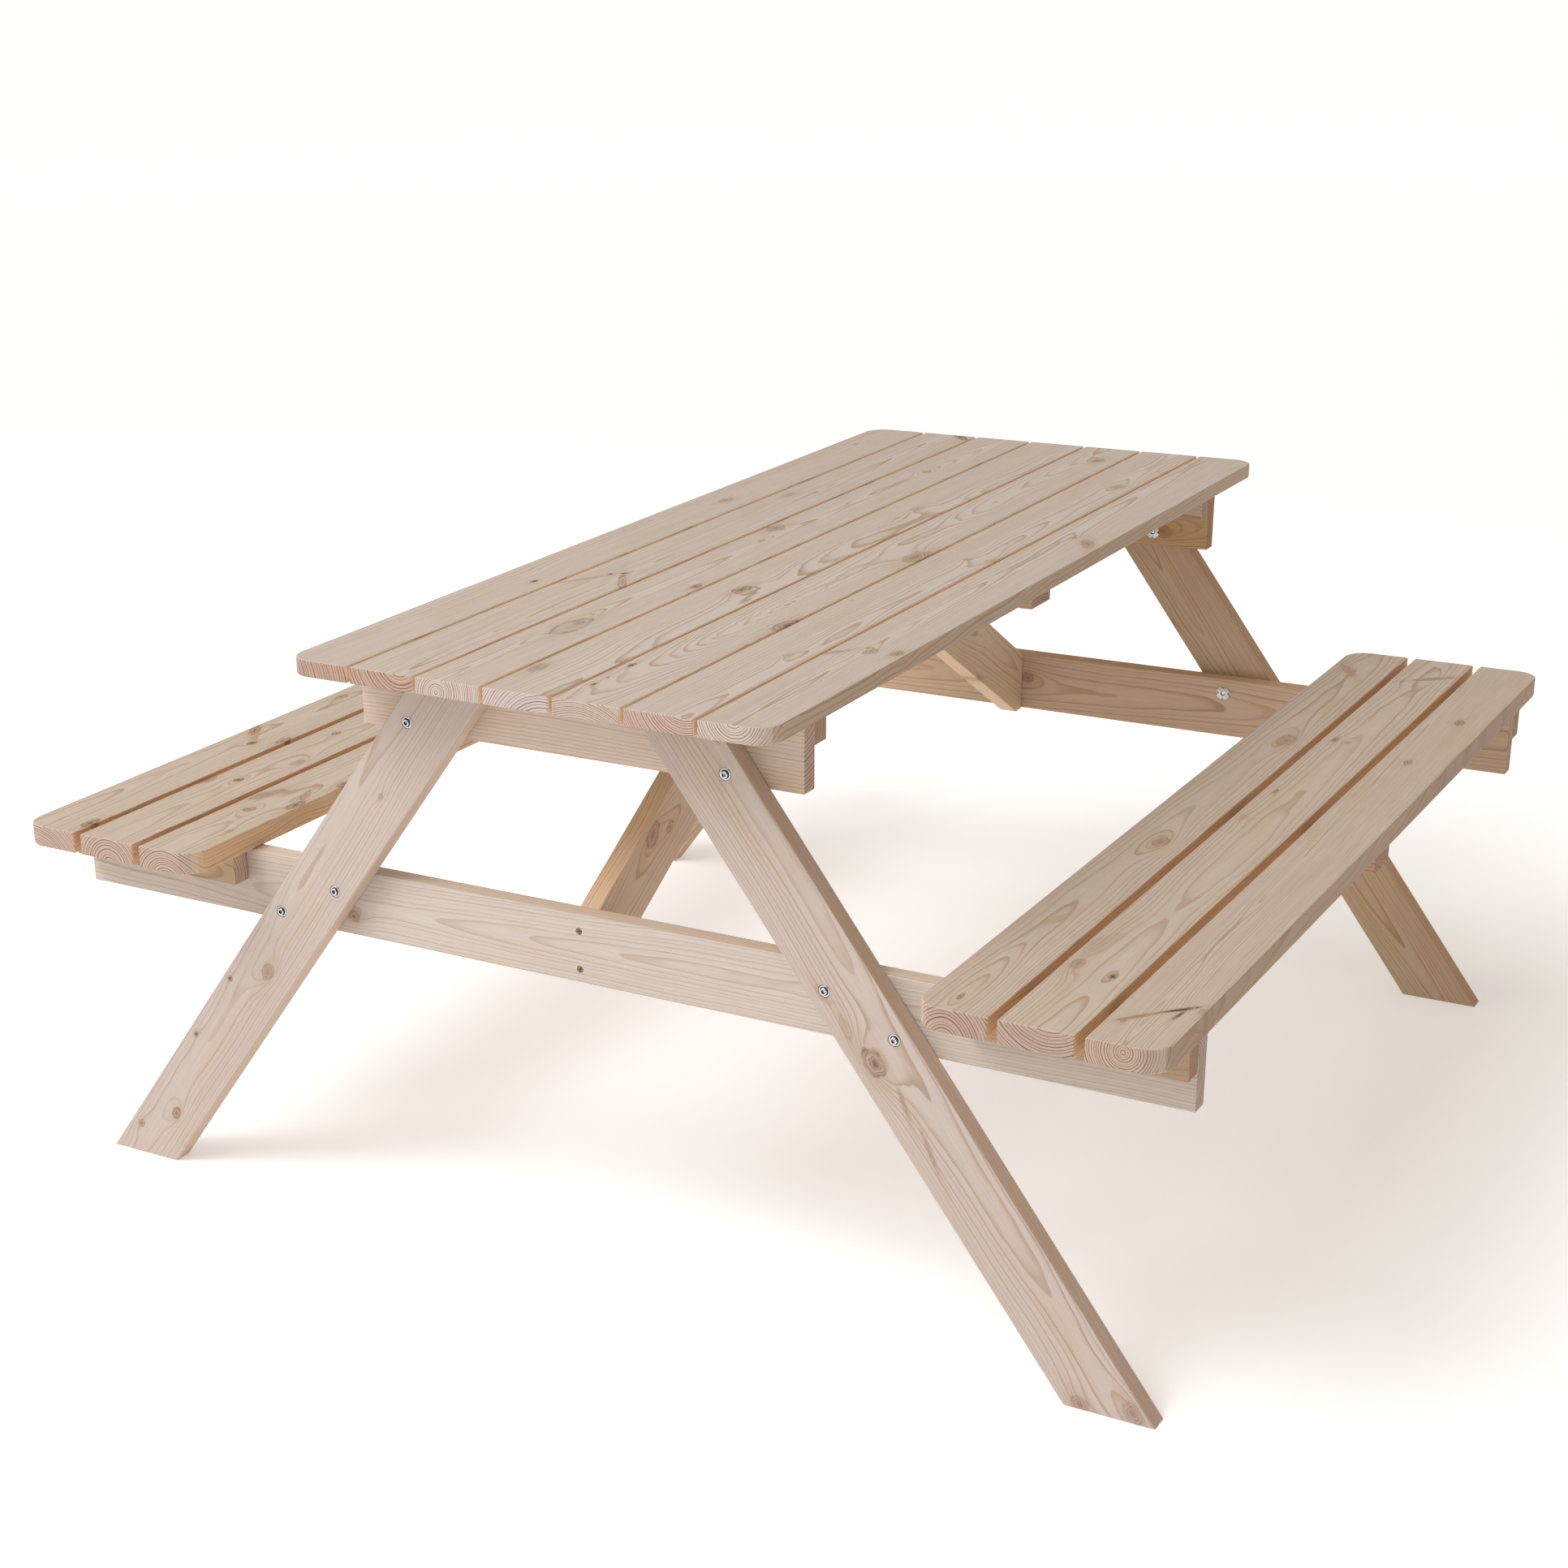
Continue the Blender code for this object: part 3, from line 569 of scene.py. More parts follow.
def pine_material(name, groups, board):
    """The board's own pine: its pith, ring gap, tint and knots in its own axes. The tint and the
    edges' tints carry painted light and shade on some boards and faces.
    """
    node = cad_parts[name]
    axes = board_axes(node)
    centre = board_centre(node, axes)
    material, graph, shader = new_material("pine_" + name)
    turn = Matrix(axes).transposed().to_euler()

    place = graph.add("ShaderNodeTexCoord")
    board_space = graph.add("ShaderNodeMapping", vector_type="TEXTURE")
    graph.feed(board_space.inputs["Vector"], place.outputs["Object"])
    board_space.inputs["Location"].default_value = centre
    board_space.inputs["Rotation"].default_value = turn
    board_space.inputs["Scale"].default_value = (MM, MM, MM)
    position = board_space.outputs[0]

    marks, swell, rings = (0.0, 0.0, 0.0), 0.0, 0.0
    for along, across, half_length, half_width, angle, wood, bark, bulge in board["knots"]:
        knot = graph.use(
            groups["knot"], Position=position, Centre=(along, across, 0.0),
            Size=(half_length, half_width, KNOT_HALF_HEIGHT), Turn=math.radians(-angle),
            Wood=wood, Bark=bark, Bulge=bulge, Marks=marks, Swell=swell, Rings=rings,
        )
        marks, swell, rings = knot["Marks"], knot["Swell"], knot["Rings"]

    end_facing = graph.vector("DOT_PRODUCT", place.outputs["Normal"], tuple(axes[0]))
    end = graph.step(graph.math("ABSOLUTE", end_facing), *END_FACING)
    # The narrow faces get painted light: warm bounce on most, painted shade on some outer edges.
    edge_facing = graph.vector("DOT_PRODUCT", place.outputs["Normal"], tuple(axes[1]))
    slight, full = EDGE_FACING
    low_edge, high_edge = board["edge_painted_light"]
    painted_edge_light = graph.mix(graph.step(edge_facing, -full, -slight, 1.0, 0.0), WHITE, low_edge)
    painted_edge_light = graph.mix(graph.step(edge_facing, slight, full), painted_edge_light, high_edge)
    pine = graph.use(
        groups["pine"], Position=position, Pith=(0.0, *board["pith"]),
        Drift=(0.0, *board["drift"]), Ring_Gap=board["ring_gap"], Seed=board["seed"],
        Marks=marks, Swell=swell, Rings=rings, End=end,
        Figure=board["figure"], Curl=board["curl"], Tint=opaque(board["tint"]),
        Edge_Tint=painted_edge_light, End_Tint=opaque(board["end_tint"]),
    )
    graph.feed(shader.inputs["Base Color"], pine["Color"])
    graph.feed(shader.inputs["Roughness"], pine["Roughness"])
    shader.inputs["Specular IOR Level"].default_value = PINE_SHEEN
    graph.bump(shader, pine["Height"], PINE_BUMP_STRENGTH, PINE_BUMP_DEPTH)
    return material


# Each knot: along, across, half length, half width (mm), turn (degrees), how strongly its own
# wood shows (0 leaves only bent grain), how dark its bark ring is, and how far rings swell (mm).
# More than nine or so on one board are too much for the renderer, and the board comes out black.
KNOTS = {
    "top_plank_1": [
        (-328, 18, 7, 4, 0, 1.0, 0.92, 4), (-287, -4, 20, 12, 0, 0.0, 0.0, 7),
        (185, 5, 14, 8, 0, 0.8, 0.35, 8), (621, -11, 6, 4, 0, 0.7, 0.5, 3),
    ],
    "top_plank_2": [
        (-285, -18, 42, 3.5, 29, 0.6, 0.25, 4), (-283, 30, 34, 5, -30, 0.75, 0.42, 5),
        (-244, 9, 5, 4, 0, 0.9, 0.92, 2), (-255, -5, 4, 3, 0, 0.9, 0.92, 2),
        (253, -21, 16, 8, 0, 0.6, 0.15, 7), (283, 5, 6, 4, 0, 0.6, 0.3, 2),
        (738, 22, 24, 6, -40, 0.9, 0.85, 3),
    ],
    "top_plank_3": [
        (-492, -2, 38, 14, 0, 0.45, 0.45, 9), (-474, -3, 9, 6, 0, 0.8, 0.4, 1),
        (61, -28, 18, 10, 0, 0.9, 0.35, 6),
        (-12, -11, 7, 4, 0, 0.5, 0.3, 3), (480, -3, 9, 6, 0, 0.7, 0.35, 6),
        (-262, 34, 11, 5, 0, 0.9, 0.88, 4),
    ],
    "top_plank_4": [
        (-657, -30, 18, 8, 0, 0.8, 0.35, 5), (-252, 3, 18, 9, 0, 0.9, 0.6, 9),
        (-252, 3, 8, 4, 0, 1.0, 0.8, 1),
        (248, 3, 15, 8, 0, 0.5, 0.2, 9), (183, 2, 3, 2, 0, 0.6, 0.3, 2),
        (80, 0, 130, 16, 0, 0.0, 0.0, 7),
    ],
    "top_plank_5": [
        (-685, -29, 6, 2.5, 0, 1.0, 1.0, 1), (-656, -29, 3, 1.5, 0, 0.8, 0.9, 1),
        (-602, -31, 8, 3, 0, 1.0, 1.0, 2), (-377, 41, 26, 10, 0, 1.0, 0.45, 9),
        (-7, 32, 30, 14, 0, 1.0, 0.25, 10), (656, 13, 14, 9, 0, 1.0, 0.3, 7),
        (-330, 0, 90, 14, 0, 0.0, 0.0, 9),
    ],
    "top_plank_6": [
        (-490, 16, 8, 5, 0, 0.6, 0.3, 5), (10, 7, 6, 5, 0, 0.8, 0.5, 3),
        (18, 38, 14, 6, 15, 0.6, 0.2, 3), (496, 18, 14, 8, 10, 0.7, 0.25, 4),
        (-240, -32, 3, 2, 0, 0.6, 0.4, 1), (620, 31, 3, 2, 0, 0.6, 0.4, 1),
    ],
    "top_plank_7": [
        (-452, -31, 16, 4, 35, 0.8, 0.35, 4), (-434, 2, 9, 6, 0, 0.8, 0.35, 4),
        (-430, 31, 11, 7, 0, 1.0, 0.3, 4), (-422, -8, 3, 3, 0, 0.8, 0.5, 1),
        (178, -8, 6, 5, 0, 0.8, 0.4, 3), (153, 21, 25, 8, -25, 0.9, 0.3, 5),
    ],
    "right_seat_plank_1": [
        (-665, 0, 50, 17, 0, 0.0, 0.0, 12), (-712, -5, 7, 3, 0, 0.9, 0.8, 3),
        (-172, 8, 17, 9, 0, 0.85, 0.3, 9), (283, 12, 24, 11, 0, 0.8, 0.25, 9),
        (645, -14, 30, 8, -30, 0.7, 0.2, 3), (-462, -2, 26, 7, 14, 0.45, 0.0, 3),
    ],
    "right_seat_plank_2": [
        (-589, 18, 7, 4, 0, 1.0, 0.95, 3), (-572, -27, 16, 7, 0, 0.8, 0.2, 9),
        (-42, -29, 10, 4, 0, 0.6, 0.2, 3), (72, -26, 8, 2, 0, 0.8, 0.8, 1),
        (-508, -26, 46, 13, 6, 0.38, 0.0, 3), (313, -25, 9, 4, 0, 0.9, 0.8, 2),
        (308, -7, 5, 4, 0, 0.7, 0.5, 2), (625, -25, 7, 3, 0, 0.8, 0.5, 2),
        (655, 10, 32, 5, 50, 0.9, 0.5, 3),
    ],
    "right_seat_plank_3": [
        (-675, -15, 22, 3, 40, 0.9, 0.5, 1), (-641, 15, 23, 3, 44, 1.0, 1.0, 3),
        (-652, 20, 14, 2, 10, 1.0, 0.9, 1), (-634, 39, 7, 5, 0, 0.75, 0.30, 3),
        (-690, -24, 6, 3, 0, 0.8, 0.6, 0), (260, -8, 9, 5, 0, 0.9, 0.7, 2),
        (461, 4, 11, 6, 0, 0.9, 0.7, 3), (300, 44, 84, 5, 0, 0.75, 0.2, 0),
        (500, 44, 84, 5, 0, 0.75, 0.2, 0),
    ],
    "left_seat_plank_1": [
        (-577, -9, 9, 7, 0, 0.9, 0.6, 6), (-520, -26, 26, 9, 18, 0.9, 0.35, 8),
        (-537, 33, 18, 7, 0, 1.0, 0.8, 6), (-440, 37, 14, 6, 0, 1.0, 0.7, 4),
        (-500, 20, 18, 5, -20, 0.8, 0.5, 4), (-655, 22, 6, 4, 0, 0.8, 0.5, 3),
    ],
    "left_seat_plank_2": [
        (-507, -40, 16, 8, 0, 0.9, 0.4, 6), (-490, -3, 8, 5, 0, 1.0, 0.88, 6),
        (-267, -13, 7, 5, 0, 1.0, 0.8, 4), (-395, 22, 12, 6, 0, 0.6, 0.3, 7),
    ],
    "left_seat_plank_3": [
        (-307, -29, 22, 7, -30, 1.0, 0.6, 5), (-355, 5, 8, 5, 0, 1.0, 0.9, 4),
        (-712, 35, 15, 7, 0, 1.0, 0.8, 4), (-327, 36, 14, 6, 0, 0.9, 0.7, 3),
        (-120, -20, 12, 6, 0, 0.8, 0.6, 3),
    ],
    "seat_beam_near": [(-322, -18, 8, 7, 0, 1.0, 0.5, 5), (0, 0, 230, 16, 0, 0.0, 0.0, 6)],
    "brace_near": [(166, 24, 17, 12, 0, 0.9, 0.5, 8), (133, 2, 8, 6, 0, 0.8, 0.6, 4)],
    "seat_beam_far": [(22, 6, 10, 7, 0, 0.9, 0.4, 5), (-330, 12, 9, 6, 0, 0.8, 0.4, 5)],
    "top_beam_far": [(222, -22, 16, 9, 0, 0.9, 0.3, 6)],
    "leg_near_left": [
        (-250, 3, 4, 3, 0, 0.6, 0.5, 3), (70, 5, 12, 8, 0, 0.8, 0.4, 7),
        (357, 6, 9, 6, 0, 0.9, 0.8, 6), (123, -32, 4, 3, 0, 1.0, 0.9, 1),
        (232, -30, 4, 3, 0, 1.0, 0.9, 1), (417, -27, 6, 4, 0, 0.9, 0.7, 3),
    ],
    "leg_near_right": [
        (-5, -15, 17, 12, 0, 1.0, 0.60, 14), (110, -15, 28, 3, -12, 0.7, 0.15, 0),
        (-54, -22, 20, 7, -8, 0.55, 0.0, 0), (-96, -24, 16, 5, 6, 0.60, 0.0, 0),
        (48, -10, 20, 3, -14, 0.8, 0.2, 0),
        (455, 29, 14, 9, 0, 0.9, 0.3, 5), (425, -23, 12, 9, 0, 0.9, 0.3, 5),
    ],
}

# Where the pith runs, across and through (mm), how it drifts per mm along, and the ring gap (mm).
# For planks "through" points down from the middle of the thickness.
PITHS = {
    "top_plank_1": ((-64, 26), (0.006, 0.012), 3.5),
    "top_plank_2": ((10, -9), (-0.022, 0.018), 3.9),
    "top_plank_3": ((-6, 16), (0.010, 0.014), 2.6),
    "top_plank_4": ((38, 34), (0.004, -0.014), 3.0),
    "top_plank_5": ((-10, 52), (0.0, -0.024), 2.3),
    "top_plank_6": ((21, -38), (-0.014, -0.008), 2.8),
    "top_plank_7": ((-14, -26), (-0.020, -0.012), 2.8),
    "right_seat_plank_1": ((-4, 34), (0.004, 0.012), 3.8),
    "right_seat_plank_2": ((6, -58), (-0.012, -0.010), 3.7),
    "right_seat_plank_3": ((-20, -12), (-0.030, -0.010), 2.6),
    "left_seat_plank_1": ((8, 40), (0.010, 0.014), 3.0),
    "left_seat_plank_2": ((4, 32), (0.0, 0.014), 3.6),
    "left_seat_plank_3": ((-8, 46), (0.012, 0.010), 2.9),
    "seat_beam_near": ((2, 46), (0.010, -0.020), 3.4),
    "top_beam_near": ((110, 30), (0.0, 0.020), 4.4),
    "leg_near_left": ((-20, 50), (0.028, 0.012), 3.1),
    "leg_near_right": ((24, 56), (-0.022, 0.018), 3.2),
}
# How the end grain's colour differs from board to board.
END_TINTS = {
    "top_plank_1": (0.70, 0.57, 0.47),
    "top_plank_2": (0.74, 0.60, 0.52),
    "top_plank_3": (0.86, 0.85, 0.81),
    "top_plank_4": (0.86, 0.85, 0.86),
    "top_plank_5": (0.80, 0.76, 0.70),
    "top_plank_6": (0.79, 0.67, 0.61),
    "top_plank_7": (0.88, 0.85, 0.82),
    "right_seat_plank_1": (0.73, 0.65, 0.60),
    "right_seat_plank_2": (0.74, 0.67, 0.65),
    "right_seat_plank_3": (0.78, 0.71, 0.65),
    "left_seat_cleat_near": (1.10, 1.20, 1.35),
}
DEFAULT_END_TINT = (0.78, 0.72, 0.68)

# Tints of boards whose names start so: the pine's tone on some, painted shade or painted light on
# others.
BOARD_TONES_AND_PAINTED_LIGHT = {
    "top_plank": TOP_TINT,
    "left_seat_plank": SEAT_TINT,
    "right_seat_plank": SEAT_TINT,
    "top_batten": BATTEN_PAINTED_SHADE,
    "left_seat_cleat": CLEAT_PAINTED_SHADE,
    "right_seat_cleat": CLEAT_PAINTED_SHADE,
    "top_beam_near": TOP_BEAM_PAINTED_LIGHT,
    "top_beam_far": FAR_TOP_BEAM_PAINTED_SHADE,
    "seat_beam_near": SEAT_BEAM_TINT,
    "seat_beam_far": FAR_SEAT_BEAM_PAINTED_SHADE,
    "leg_near": LEG_TINT,
    "leg_far": FAR_LEG_PAINTED_SHADE,
    "brace": BRACE_TINT,
}
# Planks whose low (-X) or high (+X) edge is outside: it gets painted shade in place of the painted
# bounce light of the edges in the gaps.
LOW_OUTER_EDGES = {
    "top_plank_1": OUTER_EDGE_PAINTED_SHADE,
    "right_seat_plank_1": OUTER_EDGE_PAINTED_SHADE,
    "left_seat_plank_3": OUTER_EDGE_PAINTED_SHADE,
}
HIGH_OUTER_EDGES = {
    "top_plank_7": OUTER_EDGE_PAINTED_SHADE,
    "right_seat_plank_3": SHADED_EDGE_TINT,
}

# For boards that the photograph hides. These knots' places are shares of the board's length and
# width.
DEFAULT_DRIFT = (0.012, 0.016)
DEFAULT_RING_GAP = 3.1
DEFAULT_KNOTS = ((-0.31, 0.22, 8, 6, 0, 0.8, 0.4, 5), (0.27, -0.18, 11, 7, 0, 0.8, 0.3, 7))


def board_figure(name, index, length, width):
    """What is special to one board. Boards that the photograph hides get a figure of their own."""
    swing = math.sin(2.4 * index + 0.7)
    made_up_pith = (20 * swing, 44 + 16 * math.cos(1.7 * index))
    pith, drift, ring_gap = PITHS.get(name, (made_up_pith, DEFAULT_DRIFT, DEFAULT_RING_GAP))
    made_up_knots = [(along * length / MM, across * width / MM * swing, *rest)
                     for along, across, *rest in DEFAULT_KNOTS]
    in_top = name.startswith("top_plank")
    return {
        "pith": pith,
        "drift": drift,
        "ring_gap": ring_gap,
        "seed": (1371.0 * index % 997, 311.0 * index % 613, 173.0 * index % 389),
        "tint": next(tint for start, tint in BOARD_TONES_AND_PAINTED_LIGHT.items() if name.startswith(start)),
        "edge_painted_light": edge_painted_light(name),
        "end_tint": END_TINTS.get(name, DEFAULT_END_TINT),
        "figure": TOP_FIGURE if in_top else PALE_FIGURES.get(name, FIGURE),
        "curl": TOP_CURL if in_top else 0.0,
        "knots": KNOTS.get(name, made_up_knots),
    }


def edge_painted_light(name):
    """Painted light and shade on the narrow faces, on the low and the high side of the board's
    width. Most get painted warm bounce light, those in the gaps between planks most of all; some
    outer edges get painted shade."""
    if "plank" in name:
        gap = TOP_GAP_PAINTED_BOUNCE if name.startswith("top") else SEAT_GAP_PAINTED_BOUNCE
        return LOW_OUTER_EDGES.get(name, gap), HIGH_OUTER_EDGES.get(name, gap)
    if name.startswith(("seat_beam", "brace")):
        return BEAM_EDGE_PAINTED_BOUNCE, BEAM_EDGE_PAINTED_BOUNCE
    return EDGE_PAINTED_BOUNCE, EDGE_PAINTED_BOUNCE


def dress_boards():
    """Gives each wooden CAD body its own pine."""
    groups = {"knot": build_knot_group(), "pine": build_pine_group()}
    boards = [name for name in sorted(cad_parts)
              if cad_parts[name].data.materials[0].name.endswith("pine")]
    for index, name in enumerate(boards):
        low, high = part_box(name)
        _, width, length = sorted(high - low)
        figure = board_figure(name, index, length, width)
        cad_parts[name].data.materials[0] = pine_material(name, groups, figure)


# ---------------------------------------------------------------- hardware

def metal_material(name, pale, dull, roughness, painted_dark_colour=None):
    """Plated steel: cloudy plating, fine scratches and a slightly uneven surface. Where there is a
    painted dark colour, faces that don't look along Y take it: a painted dark reflection on a
    head's rim and painted shade on its socket's walls."""
    material, graph, shader = new_material(name)
    place = graph.add("ShaderNodeTexCoord")
    position = graph.vector("DIVIDE", place.outputs["Object"], (MM, MM, MM))
    cloud = graph.noise(position, (3.0, 3.0, 3.0), 3.0)
    scratch = graph.noise(position, (0.25, 2.5, 0.25), 2.0)
    colour = graph.mix(graph.step(cloud, -0.2, 0.2), dull, pale)
    # Painted dark reflection on the rims and painted shade on the socket and bore walls.
    if painted_dark_colour:
        _, facing, _ = graph.split(place.outputs["Normal"])
        painted_dark_mask = graph.step(graph.math("ABSOLUTE", facing), 0.45, 0.92, 1.0, 0.0)
        colour = graph.mix(painted_dark_mask, colour, painted_dark_colour)
    graph.feed(shader.inputs["Base Color"], colour)
    shine = graph.math("MULTIPLY_ADD", cloud, 0.25, roughness)
    graph.feed(shader.inputs["Roughness"], graph.math("MULTIPLY_ADD", scratch, 0.15, shine))
    shader.inputs["Metallic"].default_value = 1.0
    graph.bump(shader, graph.math("ADD", cloud, scratch), METAL_BUMP_STRENGTH, METAL_BUMP_DEPTH)
    return material


def round_outline(radius):
    return lambda angle: radius


def hexagon_outline(across_flats):
    sector = math.radians(60)
    return lambda angle: across_flats / 2 / math.cos(angle % sector - sector / 2)


def cross_outline(radius, waist):
    """A four-armed driver recess."""
    return lambda angle: waist + (radius - waist) * (0.5 + 0.5 * math.cos(4 * angle)) ** 2


def lobed_outline(radius, notch):
    """A disc with four notches in its rim."""
    return lambda angle: radius - notch * max(0.0, math.cos(4 * angle)) ** 6


def lathe(bm, rows, matrix):
    """Turns (outline, height) rows about local Z into one closed body; outline None is a point."""
    loops = []
    for outline, height in rows:
        if outline is None:
            loops.append([bm.verts.new(matrix @ Vector((0.0, 0.0, height)))])
            continue
        loop = []
        for step in range(LATHE_STEPS):
            angle = 2 * math.pi * step / LATHE_STEPS
            reach = outline(angle)
            point = Vector((reach * math.cos(angle), reach * math.sin(angle), height))
            loop.append(bm.verts.new(matrix @ point))
        loops.append(loop)
    for lower, upper in zip(loops, loops[1:]):
        for step in range(LATHE_STEPS):
            after = (step + 1) % LATHE_STEPS
            if len(lower) == 1:
                bm.faces.new((lower[0], upper[after], upper[step]))
            elif len(upper) == 1:
                bm.faces.new((lower[step], lower[after], upper[0]))
            else:
                bm.faces.new((lower[step], lower[after], upper[after], upper[step]))


def finish_piece(name, bm, material, slot, *nodes):
    """Turns the bmesh into a piece that rides on the table and stands for its CAD nodes."""
    bmesh.ops.recalc_face_normals(bm, faces=bm.faces)
    mesh = bpy.data.meshes.new(name)
    bm.to_mesh(mesh)
    bm.free()
    mesh.materials.append(material)
    piece = bpy.data.objects.new(name, mesh)
    bpy.context.scene.collection.objects.link(piece)
    for face in mesh.polygons:
        face.use_smooth = True
    mesh.set_sharp_from_angle(angle=math.radians(SHARP_EDGE))
    if nodes:
        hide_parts(*nodes)
    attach(piece, "root")


def looking_out(node, out):
    """A matrix whose local Z points along out, from the middle of the CAD node's inner face."""
    low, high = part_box(node)
    middle = (low + high) / 2
    start = low if out.dot(Vector((1, 1, 1))) > 0 else high
    spot = Vector([start[k] if abs(out[k]) > 0.5 else middle[k] for k in range(3)])
    return Matrix.Translation(spot) @ out.to_track_quat("Z", "Y").to_matrix().to_4x4()


def length_and_radius(node):
    """Of a CAD node that is turned about Y."""
    low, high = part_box(node)
    return high.y - low.y, (high.x - low.x) / 2


def dome_rows(radius, seat):
    """A bolt's dome, from inside its rim to the lip of its socket."""
    foot = radius - BOLT_DOME_INSET
    lip = BOLT_SOCKET_FLATS / 2 / math.cos(math.radians(30)) + BOLT_SOCKET_LIP
    full_rise = math.sin(math.acos(1 - BOLT_DOME_ROUNDNESS))
    rows = []
    for step in range(1, BOLT_DOME_STEPS + 1):
        share = step / BOLT_DOME_STEPS
        rise = math.sin(math.acos(1 - share * BOLT_DOME_ROUNDNESS)) / full_rise
        height = BOLT_DOME_FOOT + (BOLT_HEAD_HEIGHT - BOLT_DOME_FOOT) * rise
        rows.append((round_outline(foot + (lip - foot) * share), seat + height))
    return rows


def build_bolt(node, out, material):
    """Button-head bolt: shank, rim with a groove inside it, and dome with a hexagonal socket."""
    length, radius = length_and_radius(node)
    seat = length - BOLT_HEAD_HEIGHT
    socket = hexagon_outline(BOLT_SOCKET_FLATS)
    rows = [
        (None, 0.0),
        (round_outline(BOLT_SHANK_RADIUS - CHAMFER), 0.0),
        (round_outline(BOLT_SHANK_RADIUS), CHAMFER),
        (round_outline(BOLT_SHANK_RADIUS), seat),
        (round_outline(radius - SMALL_CHAMFER), seat),
        (round_outline(radius), seat + EASE),
        (round_outline(radius), seat + BOLT_DOME_FOOT),
        (round_outline(radius - BOLT_RIM_SLOPE), seat + BOLT_RIM_HEIGHT),
        (round_outline(radius - BOLT_RIM_SLOPE - BOLT_RIM_WIDTH), seat + BOLT_RIM_HEIGHT),
        (round_outline(radius - BOLT_DOME_INSET + 0.0001), seat + BOLT_GROOVE_FLOOR),
        *dome_rows(radius, seat),
        (socket, length - SMALL_CHAMFER),
        (socket, length - BOLT_SOCKET_DEPTH),
        (None, length - BOLT_SOCKET_DEPTH - CHAMFER),
    ]
    bm = bmesh.new()
    lathe(bm, rows, looking_out(node, out))
    finish_piece("fine_" + node, bm, material, "zinc_bolt", node)


def build_tee_nut(node, out, material):
    """Tee nut: the barrel in the wood, the notched flange, and a raised lip round the bore."""
    length, radius = length_and_radius(node)
    seat = length - NUT_FLANGE_THICKNESS
    flange = lobed_outline(radius, NUT_NOTCH_DEPTH)
    barrel = round_outline(NUT_BARREL_RADIUS)
    bore = round_outline(NUT_BORE_RADIUS)
    rows = [
        (None, NUT_BORE_FLOOR),
        (bore, NUT_BORE_FLOOR),
        (bore, SMALL_CHAMFER),
        (round_outline(NUT_BARREL_RADIUS - 0.0004), 0.0),
        (barrel, CHAMFER),
        (barrel, seat),
        (lobed_outline(radius - SMALL_CHAMFER, NUT_NOTCH_DEPTH), seat),
        (flange, seat + EASE),
        (flange, length - CHAMFER),
        (lobed_outline(radius - 0.0004, NUT_NOTCH_DEPTH), length - EASE),
        (round_outline(NUT_BARREL_RADIUS + NUT_LIP_SPREAD), length - EASE),
        (round_outline(NUT_BARREL_RADIUS + 0.0004), length),
        (round_outline(NUT_BORE_RADIUS + 0.0005), length),
        (bore, length - CHAMFER),
        (bore, length - NUT_BORE_DEPTH),
        (None, length - NUT_BORE_DEPTH),
    ]
    bm = bmesh.new()
    lathe(bm, rows, looking_out(node, out))
    finish_piece("fine_" + node, bm, material, "zinc_nut", node)


def screw_rows(radius, length):
    """Countersunk screw from its tip to the driver recess in its head."""
    shank = radius * 0.5
    recess = cross_outline(radius * 0.55, radius * 0.20)
    return [
        (None, 0.0),
        (round_outline(shank * 0.6), min(0.004, length * 0.2)),
        (round_outline(shank), min(0.008, length * 0.35)),
        (round_outline(shank), length - radius * 0.75),
        (round_outline(radius - SMALL_CHAMFER), length - 2 * SMALL_CHAMFER),
        (round_outline(radius), length - SMALL_CHAMFER),
        (round_outline(radius - SMALL_CHAMFER), length),
        (round_outline(radius * 0.62), length - 0.0001),
        (recess, length - 0.0003),
        (recess, length - SCREW_RECESS_DEPTH * 0.7),
        (None, length - SCREW_RECESS_DEPTH),
    ]


def build_brace_screw(node, out, material):
    length, radius = length_and_radius(node)
    bm = bmesh.new()
    lathe(bm, screw_rows(radius, length), looking_out(node, out))
    finish_piece("fine_" + node, bm, material, "yellow_zinc_screw", node)


def build_underside_screws(rail, planks, material):
    """The row of screws that comes up through a batten or cleat, two into each plank. A screw
    too near the rail's end, or past it, moves in."""
    low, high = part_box(rail)
    rows = screw_rows(UNDERSIDE_SCREW_RADIUS, UNDERSIDE_SCREW_LENGTH)
    head_down = Euler((math.pi, 0.0, 0.0)).to_matrix().to_4x4()
    tip_height = low.z - UNDERSIDE_SCREW_PROUD + UNDERSIDE_SCREW_LENGTH
    bm = bmesh.new()
    for plank in planks:
        plank_low, plank_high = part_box(plank)
        quarter = (plank_high.x - plank_low.x) / 4
        for x in (plank_low.x + quarter, plank_high.x - quarter):
            if min(x - low.x, high.x - x) < UNDERSIDE_SCREW_NEAREST_END:
                x = min(max(x, low.x + UNDERSIDE_SCREW_INSET), high.x - UNDERSIDE_SCREW_INSET)
            tip = Vector((x, (low.y + high.y) / 2, tip_height))
            lathe(bm, rows, Matrix.Translation(tip) @ head_down)
    finish_piece("screws_" + rail, bm, material, "yellow_zinc_screw")


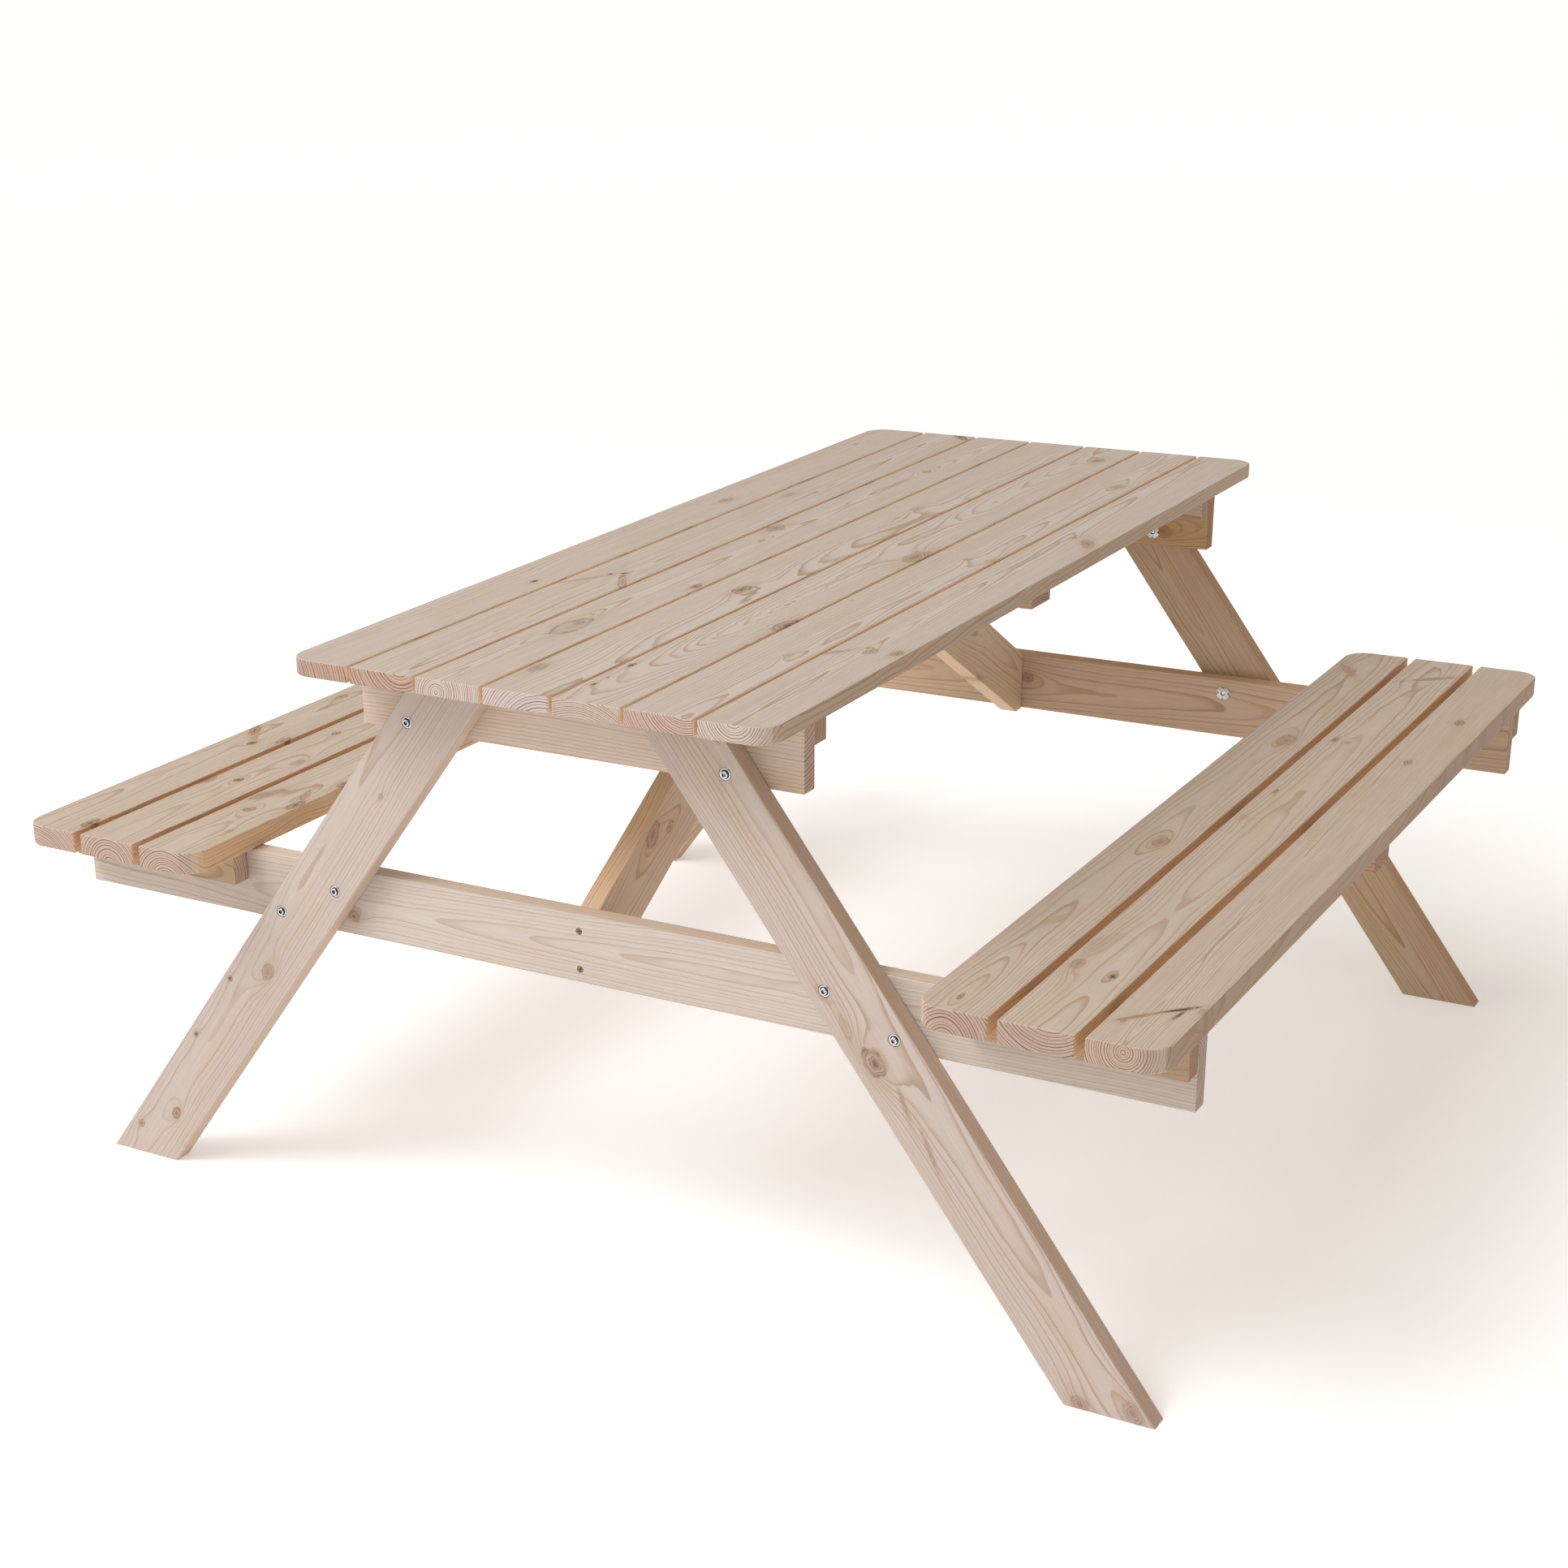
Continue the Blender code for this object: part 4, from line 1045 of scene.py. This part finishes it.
def build_hardware():
    zinc = metal_material("bright_zinc", ZINC_PALE, ZINC_DULL, ZINC_ROUGHNESS, ZINC_PAINTED_REFLECTION_AND_SHADE)
    nut_zinc = metal_material("nut_zinc", NUT_PALE, NUT_DULL, NUT_ROUGHNESS, ZINC_PAINTED_REFLECTION_AND_SHADE)
    yellow_zinc = metal_material("yellow_zinc", YELLOW_PALE, YELLOW_DULL, YELLOW_ROUGHNESS)
    for end in ENDS:
        out = Vector((0.0, -1.0 if end == "near" else 1.0, 0.0))
        for side in SIDES:
            for spot in ("top", "inner", "outer"):
                build_bolt(f"bolt_{end}_{side}_{spot}", out, zinc)
                build_tee_nut(f"tee_nut_{end}_{side}_{spot}", -out, nut_zinc)
        for spot in ("upper", "lower"):
            build_brace_screw(f"brace_screw_{end}_{spot}", out, yellow_zinc)
    top_planks = [f"top_plank_{number}" for number in range(1, 8)]
    for spot in ("near", "middle", "far"):
        build_underside_screws(f"top_batten_{spot}", top_planks, yellow_zinc)
        for side in SIDES:
            seat_planks = [f"{side}_seat_plank_{number}" for number in range(1, 4)]
            build_underside_screws(f"{side}_seat_cleat_{spot}", seat_planks, yellow_zinc)


# ---------------------------------------------------------------- studio

def build_floor():
    material, graph, shader = new_material("studio_floor")
    place = graph.add("ShaderNodeTexCoord")
    away = graph.vector("LENGTH", place.outputs["Object"])
    glow = graph.step(away, FLOOR_GLOW_START, FLOOR_GLOW_FULL, FLOOR_GLOW_NEAR, FLOOR_GLOW_FAR)
    graph.feed(shader.inputs["Emission Strength"], glow)
    shader.inputs["Emission Color"].default_value = opaque(WHITE)
    shader.inputs["Base Color"].default_value = opaque(FLOOR_COLOUR)
    shader.inputs["Roughness"].default_value = FLOOR_ROUGHNESS
    shader.inputs["Specular IOR Level"].default_value = 0.0
    bm = bmesh.new()
    bmesh.ops.create_grid(bm, x_segments=1, y_segments=1, size=FLOOR_HALF_WIDTH)
    mesh = bpy.data.meshes.new("floor")
    bm.to_mesh(mesh)
    bm.free()
    mesh.materials.append(material)
    floor = bpy.data.objects.new("floor", mesh)
    bpy.context.scene.collection.objects.link(floor)


def build_light():
    """The sun and the softbox."""
    sun = bpy.data.lights.new("key", "SUN")
    sun.energy = KEY_STRENGTH
    sun.color = KEY_COLOUR
    sun.angle = math.radians(KEY_SOFTNESS)
    lamp = bpy.data.objects.new("key", sun)
    lamp.rotation_euler = Vector(KEY_DIRECTION).to_track_quat("-Z", "Y").to_euler()
    bpy.context.scene.collection.objects.link(lamp)
    panel = bpy.data.lights.new("softbox", "AREA")
    panel.shape = "SQUARE"
    panel.size = SOFTBOX_SIDE
    panel.energy = SOFTBOX_POWER
    softbox = bpy.data.objects.new("softbox", panel)
    aim = Vector(SOFTBOX_TARGET) - Vector(SOFTBOX_PLACE)
    softbox.rotation_euler = aim.to_track_quat("-Z", "Y").to_euler()
    softbox.location = SOFTBOX_PLACE
    bpy.context.scene.collection.objects.link(softbox)


def build_sky():
    """A warm sky that lights the table. The camera sees a white backdrop in its place."""
    world = bpy.data.worlds.new("sky")
    world.use_nodes = True
    world.node_tree.nodes.clear()
    graph = Graph(world.node_tree)
    sky = graph.add("ShaderNodeBackground")
    sky.inputs["Color"].default_value = opaque(SKY_COLOUR)
    sky.inputs["Strength"].default_value = SKY_STRENGTH
    backdrop = graph.add("ShaderNodeBackground")
    backdrop.inputs["Color"].default_value = opaque(WHITE)
    either = graph.add("ShaderNodeMixShader")
    graph.feed(either.inputs[0], graph.add("ShaderNodeLightPath").outputs["Is Camera Ray"])
    graph.feed(either.inputs[1], sky.outputs["Background"])
    graph.feed(either.inputs[2], backdrop.outputs["Background"])
    output = graph.add("ShaderNodeOutputWorld")
    graph.feed(output.inputs["Surface"], either.outputs["Shader"])
    bpy.context.scene.world = world
    bpy.context.scene.view_settings.view_transform = "Standard"


def build_camera():
    yaw, pitch, roll = (math.radians(a) for a in (CAMERA_YAW, CAMERA_PITCH, CAMERA_ROLL))
    forward = Vector((-math.sin(yaw) * math.cos(pitch), math.cos(yaw) * math.cos(pitch),
                      -math.sin(pitch)))
    level = Vector((math.cos(yaw), math.sin(yaw), 0.0))
    upright = level.cross(forward)
    right = math.cos(roll) * level + math.sin(roll) * upright
    up = math.cos(roll) * upright - math.sin(roll) * level
    data = bpy.data.cameras.new("camera")
    data.sensor_width = SENSOR_WIDTH
    data.lens = CAMERA_LENS
    data.shift_x, data.shift_y = CAMERA_SHIFT
    camera = bpy.data.objects.new("camera", data)
    turn = Matrix((right, up, -forward)).transposed().to_4x4()
    camera.matrix_world = Matrix.Translation(CAMERA_PLACE) @ turn
    bpy.context.scene.collection.objects.link(camera)
    bpy.context.scene.camera = camera


dress_boards()
build_hardware()
build_floor()
build_light()
build_sky()
build_camera()
